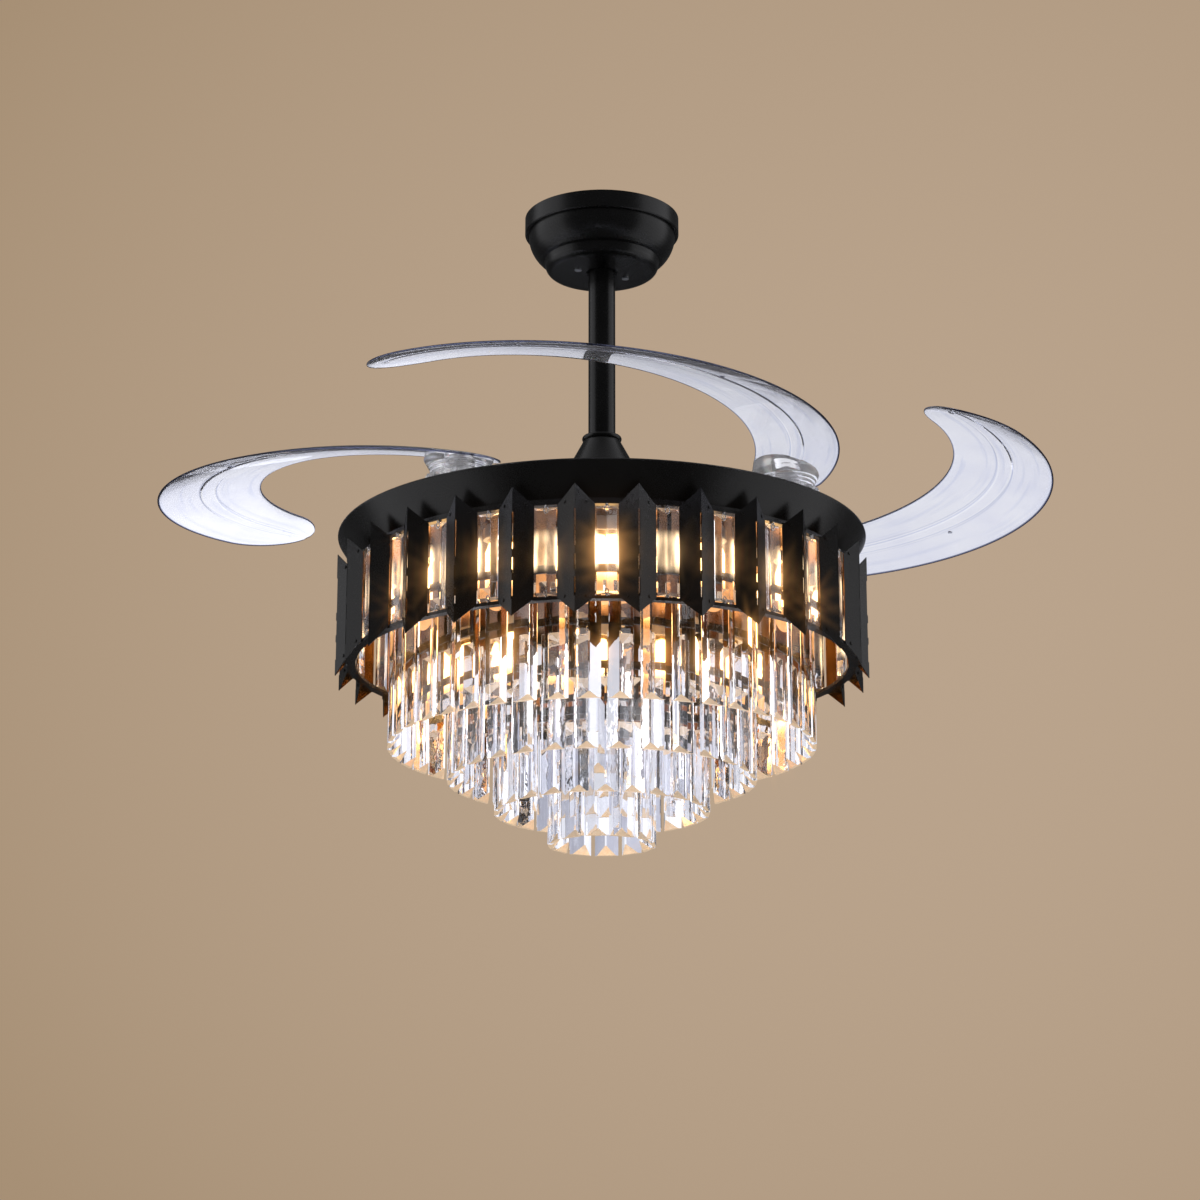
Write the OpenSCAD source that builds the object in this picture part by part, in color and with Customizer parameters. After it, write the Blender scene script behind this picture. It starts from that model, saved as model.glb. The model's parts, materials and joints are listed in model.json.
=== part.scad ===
// Ceiling fan with folding crescent blades above a crystal drum light.
// Millimetres. +Z up, origin at the centre of the face that meets the ceiling.
// The front of the light faces -Y. Blades are drawn open, as when the fan runs.

/* [Overall] */
// Drop from the ceiling to the top edge of the light drum
rim_drop = 329; // [300:1:420]
// Outer diameter of the drum's top edge
drum_d = 500; // [480:1:530]
// General running gap between turning and fixed pieces
run_gap = 1; // [0.8:0.1:1.4]
// Gap left between pieces that seat on each other
seat_gap = 0.1; // [0.05:0.05:0.15]
// Radial clearance of a pin or shaft in its bore
pin_gap = 0.05; // [0.02:0.01:0.1]

/* [Ceiling fitting] */
// Diameter of the trim ring round the canopy
canopy_d = 150; // [146:1:160]
// Height of the canopy from the ceiling to its flat bottom
canopy_h = 55.5; // [55:0.5:60]
// Height of the trim ring
canopy_ring_h = 17; // [14:1:20]
// Sheet thickness of canopy and trim ring
canopy_wall = 1.2; // [0.8:0.1:1.6]
// How far the canopy side stands inside the trim ring
canopy_step = 3.5; // [2.5:0.1:5]
// Radius of the canopy's round shoulder
canopy_shoulder_r = 33.5; // [32:0.5:36]
// Radius of the rounded lower band of the canopy
canopy_band_r = 7.5; // [6:0.5:8.5]
// How far that band stands in from the canopy's side
canopy_band_in = 16.5; // [15:0.5:18]
// Where the canopy's shoulder ends, out from that band and above the band's centre
neck_out = 1; // [0.5:0.1:1.5]
neck_up = 4; // [3.5:0.1:4.5]
// Distance between the two screw holes at the ceiling box
ceiling_hole_pitch = 88.9; // [80:0.1:92]
// Radius of those holes
ceiling_hole_r = 2.75; // [2:0.05:3.2]
// Bracket plate thickness
bracket_t = 2.5; // [2:0.1:3]
// Plate beyond the ceiling holes, and beyond each side of the strap
plate_end = 8; // [7:0.5:9]
plate_side = 3; // [2:0.5:4]
// Width and reach of the ear that carries the receiver box
ear_w = 36; // [30:1:40]
ear_l = 53; // [50:1:54]
// How far the feet reach past the canopy screws, towards the rod
foot_end = 6; // [5:0.5:6.5]
// Inside face of the bracket legs, from the axis
bracket_leg_x = 28; // [26:0.5:30]
// Width of the bracket strap
bracket_w = 30; // [26:1:34]
// Radius of the hanger ball
ball_r = 22; // [20:0.5:24]
// Drop from the ceiling to the ball's centre
ball_drop = 30; // [29:0.5:33]
// Gap between ball and its socket
ball_gap = 0.2; // [0.15:0.05:0.3]
// Drop from the ball's centre to the top of its seat
seat_drop = 6; // [5:0.5:8]
// Height of the seat and width of its arms
seat_h = 10; // [8:0.5:11]
seat_arm_w = 24; // [20:1:28]
// Cross pin radius
cross_pin_r = 3; // [2.5:0.1:3.5]
// Cross pin length
cross_pin_l = 50; // [48:1:52]
// Radius of the screw shanks that hold the canopy
canopy_screw_r = 1.6; // [1.2:0.1:2]
// Place of those screws: beside the axis, and in front of it or behind
canopy_screw_x = 23; // [22:0.5:24.5]
canopy_screw_y = 11; // [0:0.5:11]
// Radius and height of those screws' heads
canopy_head_r = 3.4; // [3:0.1:4]
canopy_head_h = 1.8; // [1.4:0.1:2.4]
// Length, depth and height of the receiver box
receiver_l = 58; // [50:1:60]
receiver_d = 20; // [16:1:21]
receiver_h = 24; // [20:1:25]
// Radius and depth of the two dimples in that box, and their distance from its ends
button_r = 1.5; // [1:0.1:2]
button_depth = 3; // [2:0.5:4]
button_in = 4; // [3:0.5:6]
// Distance of the receiver box behind the axis
receiver_y = 32; // [31:0.5:33]

/* [Downrod] */
// Outer diameter of the rod
rod_d = 26; // [24:0.5:28]
// Wall of the rod
rod_wall = 2; // [1.5:0.1:3]
// Play round the rod where it leaves the canopy
rod_play = 2.2; // [2:0.1:3]
// Height of the rod's lower end above the drum's top edge
rod_end_z = 70; // [66:1:76]
// Height of the coupling cover's top
cover_top_z = 105; // [101:1:110]
// Outer radius of the cover below its bead, and of its foot
cover_top_r = 17.8; // [17:0.1:18.4]
cover_foot_r = 39; // [37:0.5:44]
// Outer radius and height of the bead at the cover's top
cover_bead_r = 19; // [18.6:0.1:20]
cover_bead_h = 5.5; // [4.5:0.5:7]
// Gap between the rod and the cover
cover_rod_gap = 0.3; // [0.2:0.1:0.5]
// Gap under the cover's foot to the turning motor shell
cover_gap = 3; // [2:0.5:4]
// Sheet thickness of the cover
cover_wall = 1.5; // [1:0.1:2]
// Outer radius of the coupling sleeve
sleeve_r = 18; // [17:0.5:19]
// Length of the sleeve above the rod's end
sleeve_up = 18; // [15:1:20]
// Radius of the coupling bolt, and of its head and nut
coupling_bolt_r = 3; // [2.5:0.1:3.5]
coupling_head_r = 4.6; // [4:0.1:5]
// Height of that head and of that nut
coupling_head_h = 2.5; // [2:0.1:2.6]
coupling_nut_h = 3; // [2.4:0.1:3.2]
// How far a bolt reaches past its nut
bolt_over = 1; // [0.6:0.1:1.4]
// Thickness of the coupling's ledge that carries the cover, and its height above the cover's foot
ledge_t = 2; // [1.5:0.1:2.5]
ledge_up = 1; // [0.5:0.1:1.5]

/* [Motor] */
// Radius of the fixed shaft and of the wire way in it
shaft_r = 10; // [9:0.5:11]
wire_way_r = 6; // [5:0.5:7]
// How far the shaft reaches under the pan, and the width of its collar
shaft_under = 14; // [12:1:16]
collar_w = 8; // [6:0.5:9]
// Outer radius of the motor shell
motor_r = 100; // [96:1:108]
// Height of the shell's top above the drum's top edge
motor_top_z = 57; // [54:1:59]
// Depth of the shell below the blade tray
motor_depth = 26; // [24:1:27]
// Sheet thickness of the shell
motor_wall = 2; // [1.5:0.1:2.5]
// Radius of the shell's round shoulder
shoulder_r = 30; // [24:1:36]
// Radius of the corner of the lower shell
base_corner_r = 14; // [10:1:16]
// Width of the shell's bolting flange
flange_w = 12; // [11:0.5:14]
// Outer radius and height of the ball bearings
bearing_r = 21; // [20:0.5:22]
bearing_h = 12; // [10:1:13]
// Thickness of their races
race_t = 3.5; // [3:0.1:4]
// Magnet thickness
magnet_t = 6; // [4:0.5:7]
// Air gap between stator and magnets
air_gap = 1.5; // [1:0.1:2]
// Number of stator teeth
teeth_n = 12; // [9:3:15]
// Height of the stator stack
stator_h = 18; // [14:1:20]
// Width of a tooth's stem, and depth of its shoe
tooth_w = 9; // [7:0.5:10]
shoe_t = 6; // [4:0.5:7]
// Radius of the stator's hub
stator_hub_r = 33; // [28:1:36]
// How far the coils stand out beyond the core, and their width
coil_over = 4; // [3:0.5:5]
coil_w = 16; // [14:0.5:18]

// Radius of the bolts that join the shells and the tray, and of their heads and nuts
shell_bolt_r = 2; // [1.5:0.1:2.5]
shell_head_r = 3.7; // [3.2:0.1:4]
// Height of those heads and of those nuts
shell_head_h = 2; // [1.5:0.1:2.4]
shell_nut_h = 2.6; // [2:0.1:3]

/* [Blade tray] */
// Width of the tray outside the blade pivots
tray_edge_w = 16.2; // [15:0.1:20]
// Sheet thickness of the tray
tray_t = 3; // [2.5:0.5:3.5]
// Distance of the blade pivots from the fan's axis
pivot_r = 211.8; // [211.8:0.1:213]
// Direction of the first pivot, seen from above
pivot_a = -37.5; // [-60:0.5:-20]
// Radius of the pivot posts
post_r = 4; // [3.5:0.1:4.5]
// Thickness of the posts' heads under the tray
post_head_h = 1.6; // [1.2:0.1:1.8]
// Outer radius of the washers on the posts, and of the thin ones under the blades
washer_r = 9; // [8:0.5:10]
thrust_r = 15; // [12:0.5:17]
// Thickness of the washers on the posts
washer_t = 1.2; // [0.8:0.1:1.5]
// Radius and height of the cap screws on the posts, and the width of their round edge
cap_r = 6.5; // [6:0.1:8]
cap_h = 2.4; // [2:0.1:2.6]
cap_edge = 1.5; // [1:0.1:2]
// Radius and depth of the key's hole in them
key_r = 2.5; // [2:0.1:3]
key_depth = 1; // [0.6:0.1:1.4]

/* [Blades] */
// Angle through which a blade folds away
fold_a = 54.7; // [52:0.1:55]
// Radius of the blade's outer edge
outer_r = 236.5; // [234:0.5:238]
// Distance from the pivot to the centre of that edge
outer_off = 201.8; // [200:0.1:203]
// Radius of the blade's inner edge
inner_r = 184.7; // [183:0.1:186]
// Distance from the pivot to the centre of the inner edge
inner_off = 214.5; // [213:0.1:216]
// Direction of that centre, turned from the line to the fan's axis
inner_a = 41.8; // [40:0.1:43]
// Arc of the outer and of the inner edge, pivot to tip
outer_arc = 161; // [158:0.5:163]
inner_arc = 141; // [138:0.5:142]
// Height of the blade's middle above the tray's underside at pivot and tip
root_z = 27.2; // [26.8:0.1:28]
tip_z = 64.5; // [60:0.5:68]
// Slope across the blade, inner edge up
pitch = 0.25; // [0.2:0.01:0.28]
// Arch across the blade
camber = 3; // [1:0.5:4]
// Thickness of the blade in the middle and at its edge
blade_t = 3.4; // [2.6:0.1:4]
edge_t = 1.6; // [1.2:0.1:2.2]
// Edges of the moulded rib along the blade, as shares across half the blade
rib_in = -0.1; // [-0.2:0.01:0]
rib_out = 0.16; // [0.1:0.01:0.3]
// How far the rib stands out below
rib_h = 0.8; // [0.4:0.1:1.2]
// Radius of the moulding mark beside the rib, and its place along the blade
mark_r = 2.2; // [1.5:0.1:3]
mark_u = 0.42; // [0.3:0.01:0.6]
// Share of the blade's length taken by the round tip
tip_share = 0.1; // [0.08:0.01:0.16]
// Share of the blade's length taken by the round end behind the pivot
root_share = 0.06; // [0.05:0.005:0.07]
// Radius of the knuckle at its foot, at its widest and under the blade's high side
knuckle_foot_r = 23; // [22:0.5:25]
knuckle_wide_r = 31.5; // [31:0.5:34]
knuckle_top_r = 29.5; // [29:0.5:31]
// Height above the tray where the knuckle is widest
knuckle_wide_z = 24.5; // [23:0.5:26]
// How far the knuckle's top lies above the blade's edges, so that it reaches the arched middle
knuckle_sink = 1.5; // [1.4:0.1:1.6]
// Height of the seat of the washer on top of the knuckle
boss_top_z = 28; // [27.6:0.1:28.6]
// Play round that washer in its recess
recess_play = 2; // [1:0.5:3]
// Inner radius of the spring pocket in the knuckle
pocket_r = 12.5; // [12:0.1:13.5]
// Number, depth and height of the ring grooves round the knuckle
grooves_n = 3; // [2:1:3]
groove_depth = 1.4; // [0.8:0.1:1.8]
groove_h = 1.6; // [1:0.1:2]
// Distance from one groove to the next
groove_step = 3.2; // [2.8:0.1:3.6]

/* [Synchroniser] */
// Gear module, which is the pitch diameter over the tooth count
gear_m = 2; // [1.9:0.05:2]
// Teeth on each blade's pinion
pinion_n = 28; // [26:1:28]
// Height of the gear teeth
gear_h = 5; // [4:0.5:5.5]
// Slope of the teeth's flanks
pressure_a = 20; // [18:0.5:22]
// Free play between teeth at the pitch line
backlash = 0.9; // [0.7:0.05:1.1]
// Radial width of the synchroniser ring inside its teeth
ring_w = 9.5; // [8:0.5:12]
// Teeth of each toothed stretch, before and past the pivot
teeth_before = 8; // [8:1:9]
teeth_past = 3; // [3:1:4]
// Radial width of the raised track that guides the ring
track_w = 12; // [10:1:14]
// How far the track stands above the ring
ring_rise = 0.4; // [0.3:0.1:0.6]
// How far the retainers reach out over the ring
ring_reach = 5; // [4:0.5:6]
// Length, width and thickness of the retainers on the track
retainer_l = 15; // [12:0.5:16]
retainer_w = 18; // [14:1:20]
retainer_t = 1.4; // [1:0.1:2]
// Radius of the screws that hold them, and the height of their heads
track_screw_r = 1.5; // [1.2:0.1:2]
track_head_h = 1.6; // [1.2:0.1:2]
// Wire radius, coil radius and number of curls of the return springs
spring_wire_r = 0.9; // [0.7:0.1:1]
spring_coil_r = 9; // [8.5:0.1:9.5]
spring_curls = 5; // [4:1:5]
// Rise of the spring for each curl
spring_pitch = 2.5; // [2.3:0.1:2.6]

/* [Drum] */
// How far the pan's wall stands in from the drum's rim
flare_w = 18; // [16:0.5:20]
// Height of the flared rim
flare_h = 31; // [30:0.5:32]
// Depth of the lip below the pan's floor
lip_h = 6; // [5:0.5:7]
// Sheet thickness of the pan's floor and of its wall
pan_t = 2; // [1.5:0.1:2.5]
pan_wall = 1.5; // [1.2:0.1:1.8]
// Radius of the rolled bead on the rim's edge
bead_r = 1.6; // [1.2:0.1:2]
// Radius of the lamps' wire holes in the pan
wire_hole_r = 3; // [2.5:0.1:4]
// Number of fins, and of the crystals between them
fins_n = 28; // [26:1:28]
// Direction of the first window, turned from the front
window_a = 1; // [0:0.5:3]
// How far the rings that carry the fins stand out from the pan's wall
ledge_w = 6.6; // [6:0.1:7.5]
// How far those rings reach in under the wall
ring_lap = 1.2; // [0.8:0.1:1.4]
// Gap between the rings' edge and the fins' inner edges
fin_gap = 0.4; // [0.3:0.1:0.6]
// Depth of a fin from its ridge to its inner edges
fin_depth = 11; // [10:0.5:12]
// Clear width between two fins
window_open = 20.5; // [19:0.1:22]
// Sheet thickness of the fins
fin_t = 1; // [0.8:0.1:1.2]
// Ridge top and bottom, below the drum's top edge
ridge_top = 23; // [22:0.5:25]
ridge_bottom = 140; // [136:1:144]
// Slope of a fin's top and bottom ends from ridge to inner edge
fin_drop = 16.5; // [15:0.5:16.5]
// Half the width of the slits along the ridge
slit_half = 1.1; // [0.8:0.1:1.4]
// Slits as distance of each end below the drum's top edge
slits = [[46, 79.7], [87, 101.5], [108, 125]];
// Thickness of the top ring and of the bottom ring
top_ring_t = 1.5; // [1:0.1:2]
bottom_ring_t = 3; // [2:0.1:3.5]
// Underside of the bottom ring, below the drum's top edge
bottom_ring_z = 125; // [123:0.5:126]
// Radius and height of the fin screws' heads
fin_screw_r = 1.6; // [1.2:0.1:1.8]
fin_screw_h = 0.8; // [0.6:0.1:1]
// Place of those screws, as a share across a fin's side from its ridge
fin_screw_at = 0.62; // [0.58:0.01:0.66]
// Height of the nut under the pan and of its flange
pan_nut_h = 8; // [7:0.5:9]
nut_flange_h = 2; // [1.5:0.1:2.5]
// How far the nut and its flange stand out round the shaft
pan_nut_w = 6; // [5:0.5:7]
nut_flange_w = 9; // [8:0.5:10]

/* [Crystals] */
// How far a window crystal reaches behind the fin on each side
window_lap = 0.95; // [0.5:0.05:1.2]
// Depth of the window crystals
window_depth = 7; // [6:0.5:9]
// How far their outer faces stand in from the rings' edge
window_inset = 1.2; // [1:0.1:2]
// Length of the pins that hold the window crystals
window_pin_l = 1.6; // [1.2:0.1:2.5]
// Width and depth of the hanging crystals
crystal_w = 22; // [20:0.1:22.4]
crystal_depth = 11; // [9:0.5:11.5]
// Length of the hanging crystals
crystal_l = 106; // [100:1:110]
// Thickness of every crystal at its sides, and half the flat left along its ridge
crystal_edge = 1.2; // [1:0.1:1.4]
crystal_ridge = 0.8; // [0.4:0.1:1]
// Flat left on a crystal's ends at its outer face
crystal_flat = 3.4; // [3:0.1:4]
// Length and radius of the hooks above the crystals
hook_l = 8; // [6:0.5:9]
hook_r = 1.1; // [0.8:0.1:1.4]
// Height and thickness of the rings that carry the crystals
tier_ring_h = 7; // [5:0.5:8]
tier_ring_t = 3; // [2.6:0.1:3.4]
// Outer radius of each tier's crystals, from the outermost in
tier_r = [199.5, 143.6, 99.7, 49.4];
// Lowest point of each tier, below the drum's top edge
tier_bottom = [203, 234.5, 264, 294];
// Crystals in each tier
tier_n = [44, 30, 24, 12];
// Direction of each tier's first crystal, turned from the front
tier_a = [-3.4, 6.3, 2, -5.3];
// Radius of the rods that hang the tiers from the pan
hang_rod_r = 2; // [1.5:0.1:2.5]
// Rods for each tier
hang_rods_n = 4; // [3:1:4]
// Direction of the first rod, turned from the front
hang_rod_a = 16; // [14:0.5:18]

/* [Lamps] */
// Number of lamps
lamps_n = 12; // [6:6:12]
// Distance of the lamps from the axis
lamp_r = 175; // [151:0.5:176]
// Radius and height of the lamp holders
socket_r = 13; // [11:0.5:14]
socket_h = 13; // [10:0.5:16]
// Height and width of the step at a holder's foot
socket_step_h = 3; // [2:0.5:4]
socket_step_w = 2; // [1:0.1:2.5]
// Radius and length of the bulbs
bulb_r = 11; // [9:0.5:12]
bulb_l = 66; // [55:1:66]
// Length and radius of a bulb's neck
bulb_neck = 12; // [9:0.5:14]
bulb_neck_r = 7.7; // [7:0.1:8.5]

/* [Hidden] */
$fn = 72;
eps = 0.01;
// One node per blade, each with its own joint
blades_n = 4;
deg = 180 / PI;

black = [0.06, 0.06, 0.065];
steel = [0.62, 0.63, 0.65];
chrome = [0.85, 0.86, 0.88];
clear_tint = [0.86, 0.89, 0.98, 0.45];
copper = [0.72, 0.42, 0.22];
warm_glass = [1, 0.86, 0.6, 0.8];
ivory = [0.9, 0.87, 0.8];

canopy_r = canopy_d / 2 - canopy_step;
canopy_floor_z = -canopy_h + canopy_wall;
rod_r = rod_d / 2;
drum_r = drum_d / 2;
rod_hole_r = rod_r + rod_play;
plate_y = bracket_w / 2 + plate_side;
tray_r = pivot_r + tray_edge_w;
pan_r = drum_r - flare_w;
ring_out_r = pan_r + ledge_w;
ring_in_r = pan_r - ring_lap;
fin_edge_r = ring_out_r + fin_gap;
ridge_r = fin_edge_r + fin_depth;
fin_half = fin_edge_r * sin(180 / fins_n) - window_open / 2;
window_w = window_open + 2 * window_lap;
window_r = ring_out_r - window_inset;
foot_z = canopy_floor_z + seat_gap;
cover_foot_z = motor_top_z + cover_gap;
sleeve_foot_z = motor_top_z + run_gap;
flange_r = motor_r + flange_w;
bolt_r = motor_r + flange_w / 2;
track_r = sync_pitch_r() - ring_body_w();
deck_z = tray_t;
gear_z = deck_z + ring_rise;
track_top_z = gear_z + gear_h + ring_rise;
collar_z = gear_z + gear_h + ring_rise + seat_gap;
pocket_z = collar_z + 1;
pocket_top = pocket_z + spring_curls * spring_pitch + 2 * spring_wire_r + 0.8;
pan_floor_z = -flare_h;
pan_under_z = pan_floor_z - pan_t;
lip_z = pan_floor_z - lip_h;
top_ring_z = lip_z - seat_gap - top_ring_t;
window_top_z = top_ring_z - window_pin_l;
window_bottom_z = -bottom_ring_z + bottom_ring_t + window_pin_l;
pinion_r = gear_m * pinion_n / 2;

function sync_pitch_r() = pivot_r - gear_m * pinion_n / 2;
function ring_body_w() = gear_m * 1.3 + ring_w;
function arc(c, r, a0, a1, n) =
    [for (i = [0:n]) c + r * [cos(a0 + (a1 - a0) * i / n), sin(a0 + (a1 - a0) * i / n)]];
function spin2(p, a) = [p[0] * cos(a) - p[1] * sin(a), p[0] * sin(a) + p[1] * cos(a)];

// Moves a piece from drum heights to its place under the ceiling
module at_rim() {
    translate([0, 0, -rim_drop]) children();
}

// Repeats a piece round the axis, the first one turned a from the front
module ring_of(n, a, r) {
    for (i = [0:n - 1])
        rotate([0, 0, a + 360 * i / n]) translate([0, -r, 0]) children();
}

// Plain tube between two heights
module tube(ro, ri, z0, z1) {
    difference() {
        translate([0, 0, z0]) cylinder(r = ro, h = z1 - z0);
        translate([0, 0, z0 - 1]) cylinder(r = ri, h = z1 - z0 + 2);
    }
}

// Bolt along Z, head down: the head's seat is at z0 and the shank ends at z1
module bolt_up(r, z0, z1, head_r, head_h) {
    translate([0, 0, z0]) cylinder(r = r, h = z1 - z0);
    translate([0, 0, z0 - head_h]) cylinder(r = head_r, h = head_h);
}

// ---------------------------------------------------------------- ceiling

// Repeats a piece at each of the two canopy screws
module at_canopy_screws() {
    for (a = [0, 180]) rotate([0, 0, a]) translate([canopy_screw_x, canopy_screw_y, 0]) children();
}

// Leg on the +X side, with its inward foot and its arm to the ball's seat
module bracket_leg(seat_foot) {
    foot_x = canopy_screw_x - foot_end;
    translate([bracket_leg_x, -bracket_w / 2, foot_z])
        cube([bracket_t, bracket_w, -foot_z - bracket_t / 2]);
    translate([foot_x, -bracket_w / 2, foot_z])
        cube([bracket_leg_x + bracket_t - foot_x, bracket_w, bracket_t]);
    translate([bracket_leg_x - seat_h, -seat_arm_w / 2, seat_foot])
        cube([seat_h + bracket_t, seat_arm_w, seat_h]);
}

module ceiling_bracket() {
    plate_l = ceiling_hole_pitch + 2 * plate_end;
    seat_foot = -ball_drop - seat_drop - seat_h;
    color(steel) difference() {
        union() {
            translate([-plate_l / 2, -plate_y, -bracket_t]) cube([plate_l, 2 * plate_y, bracket_t]);
            translate([-ear_w / 2, 0, -bracket_t]) cube([ear_w, ear_l, bracket_t]);
            for (s = [0, 1]) mirror([s, 0, 0]) bracket_leg(seat_foot);
            translate([0, 0, seat_foot]) cylinder(r = bracket_leg_x, h = seat_h);
        }
        translate([0, 0, -ball_drop]) sphere(r = ball_r + ball_gap);
        translate([0, 0, seat_foot - 1]) cylinder(r = rod_hole_r, h = seat_h);
        translate([-rod_hole_r, -bracket_leg_x - 1, seat_foot - 1])
            cube([2 * rod_hole_r, bracket_leg_x + 1, seat_h + 2]);
        for (s = [-1, 1]) translate([s * ceiling_hole_pitch / 2, 0, -bracket_t - 1])
            cylinder(r = ceiling_hole_r, h = bracket_t + 2);
        at_canopy_screws() translate([0, 0, foot_z - 1])
            cylinder(r = canopy_screw_r + pin_gap, h = bracket_t + 2);
    }
}

module receiver_box() {
    top = -bracket_t - seat_gap;
    color(black) difference() {
        translate([-receiver_l / 2, receiver_y, top - receiver_h])
            cube([receiver_l, receiver_d, receiver_h]);
        for (s = [-1, 1])
            translate([s * (receiver_l / 2 - button_in), receiver_y - 1, top - receiver_h / 2])
                rotate([-90, 0, 0]) cylinder(r = button_r, h = button_depth + 1);
    }
}

module canopy() {
    band_out = canopy_r - canopy_band_in;
    band_z = -canopy_h + canopy_band_r;
    neck = [band_out + neck_out, band_z + neck_up];
    shoulder_c = [canopy_r - canopy_shoulder_r, -canopy_ring_h];
    shoulder_a = -asin((shoulder_c[1] - neck[1] - canopy_wall) / canopy_shoulder_r);
    shoulder_in = canopy_shoulder_r - canopy_wall;
    band_c = [band_out - canopy_band_r, band_z];
    outer = concat([[canopy_r, -1]], arc(shoulder_c, canopy_shoulder_r, 0, shoulder_a, 9), [neck],
        arc(band_c, canopy_band_r, 0, -90, 6), [[rod_hole_r, -canopy_h]]);
    inner = concat([[rod_hole_r, canopy_floor_z]],
        arc(band_c, canopy_band_r - canopy_wall, -90, 0, 6), [neck + [-canopy_wall, 0.4]],
        arc(shoulder_c, shoulder_in, shoulder_a, 0, 9), [[canopy_r - canopy_wall, -1]]);
    color(black) difference() {
        rotate_extrude() polygon(concat(outer, inner));
        at_canopy_screws() translate([0, 0, -canopy_h - 1])
            cylinder(r = canopy_screw_r + pin_gap, h = 2 * canopy_wall + 1);
    }
}

module canopy_ring() {
    r = canopy_d / 2;
    color(black) rotate_extrude() polygon([
        [r, -eps], [r, -canopy_ring_h + 1], [r - 1, -canopy_ring_h],
        [canopy_r + seat_gap, -canopy_ring_h], [canopy_r + seat_gap, -canopy_ring_h + canopy_wall],
        [r - canopy_wall, -canopy_ring_h + canopy_wall], [r - canopy_wall, -eps]]);
}

module canopy_screws() {
    color(steel) at_canopy_screws()
        bolt_up(canopy_screw_r, -canopy_h, foot_z + bracket_t + 2, canopy_head_r, canopy_head_h);
}

module cross_pin() {
    color(steel) translate([0, -cross_pin_l / 2, -ball_drop]) rotate([-90, 0, 0])
        cylinder(r = cross_pin_r, h = cross_pin_l);
}

module hanger_ball() {
    color(black) difference() {
        intersection() {
            translate([0, 0, -ball_drop]) sphere(r = ball_r);
            translate([0, 0, -ball_drop - 0.7 * ball_r]) cylinder(r = ball_r + 1, h = 1.4 * ball_r);
        }
        translate([0, 0, -ball_drop - ball_r]) cylinder(r = rod_r + pin_gap, h = 2 * ball_r);
        translate([0, -ball_r - 1, -ball_drop]) rotate([-90, 0, 0])
            cylinder(r = cross_pin_r + pin_gap, h = 2 * ball_r + 2);
    }
}

module downrod() {
    top = -ball_drop + 0.8 * ball_r;
    foot = rod_end_z - rim_drop + seat_gap;
    color(black) difference() {
        tube(rod_r, rod_r - rod_wall, foot, top);
        translate([0, -rod_r - 1, -ball_drop]) rotate([-90, 0, 0])
            cylinder(r = cross_pin_r + pin_gap, h = rod_d + 2);
        translate([-rod_r - 1, 0, rod_end_z + sleeve_up / 2 - rim_drop]) rotate([0, 90, 0])
            cylinder(r = coupling_bolt_r + pin_gap, h = rod_d + 2);
    }
}

// ------------------------------------------------------- coupling and motor

// Outer radius of the cover at height z, below its bead
function cover_out_r(z) = cover_top_r + (cover_foot_r - cover_top_r)
    * (cover_top_z - cover_bead_h - z) / (cover_top_z - cover_bead_h - cover_foot_z);

module rod_coupling() {
    ledge_z = cover_foot_z + ledge_up;
    color(steel) at_rim() difference() {
        union() {
            translate([0, 0, sleeve_foot_z])
                cylinder(r = sleeve_r, h = rod_end_z + sleeve_up - sleeve_foot_z);
            translate([0, 0, ledge_z])
                cylinder(r = cover_out_r(ledge_z + ledge_t) - cover_wall - 2 * seat_gap, h = ledge_t);
        }
        translate([0, 0, rod_end_z]) cylinder(r = rod_r + pin_gap, h = sleeve_up + 1);
        translate([0, 0, sleeve_foot_z - 1]) cylinder(r = shaft_r + pin_gap, h = rod_end_z);
        translate([-sleeve_r - 1, 0, rod_end_z + sleeve_up / 2]) rotate([0, 90, 0])
            cylinder(r = coupling_bolt_r + pin_gap, h = 2 * sleeve_r + 2);
    }
}

module coupling_bolt() {
    color(steel) at_rim() translate([0, 0, rod_end_z + sleeve_up / 2]) rotate([0, 90, 0])
        translate([0, 0, -sleeve_r]) {
            cylinder(r = coupling_bolt_r, h = 2 * sleeve_r + seat_gap + coupling_nut_h + bolt_over);
            translate([0, 0, -coupling_head_h])
                cylinder(r = coupling_head_r, h = coupling_head_h - seat_gap);
            translate([0, 0, 2 * sleeve_r + seat_gap])
                cylinder(r = coupling_head_r, h = coupling_nut_h, $fn = 6);
        }
}

module coupling_cover() {
    edge = cover_bead_h / 2;
    c = [cover_bead_r - edge, cover_top_z - edge];
    bore = rod_r + cover_rod_gap;
    neck_z = cover_top_z - cover_bead_h;
    color(black) at_rim() rotate_extrude() polygon(concat(
        [[bore, cover_top_z]], arc(c, edge, 90, -60, 8), [[cover_top_r, neck_z]],
        [[cover_foot_r, cover_foot_z], [cover_foot_r - cover_wall, cover_foot_z],
        [cover_top_r - cover_wall, neck_z - cover_wall], [bore, neck_z]]));
}

module motor_shaft() {
    foot = pan_under_z - shaft_under;
    collar_z0 = pan_floor_z + seat_gap;
    color(steel) at_rim() difference() {
        union() {
            translate([0, 0, foot]) cylinder(r = shaft_r, h = rod_end_z - foot);
            translate([0, 0, collar_z0])
                cylinder(r = shaft_r + collar_w, h = -motor_depth - run_gap - collar_z0);
        }
        translate([0, 0, foot - 1]) cylinder(r = wire_way_r, h = rod_end_z - foot + 2);
    }
}

magnet_z = deck_z + 2;
magnet_h = motor_top_z - shoulder_r - magnet_z - seat_gap;
magnet_in_r = motor_r - motor_wall - magnet_t;
stator_r = magnet_in_r - air_gap;
stator_z = magnet_z + (magnet_h - stator_h) / 2;

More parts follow.
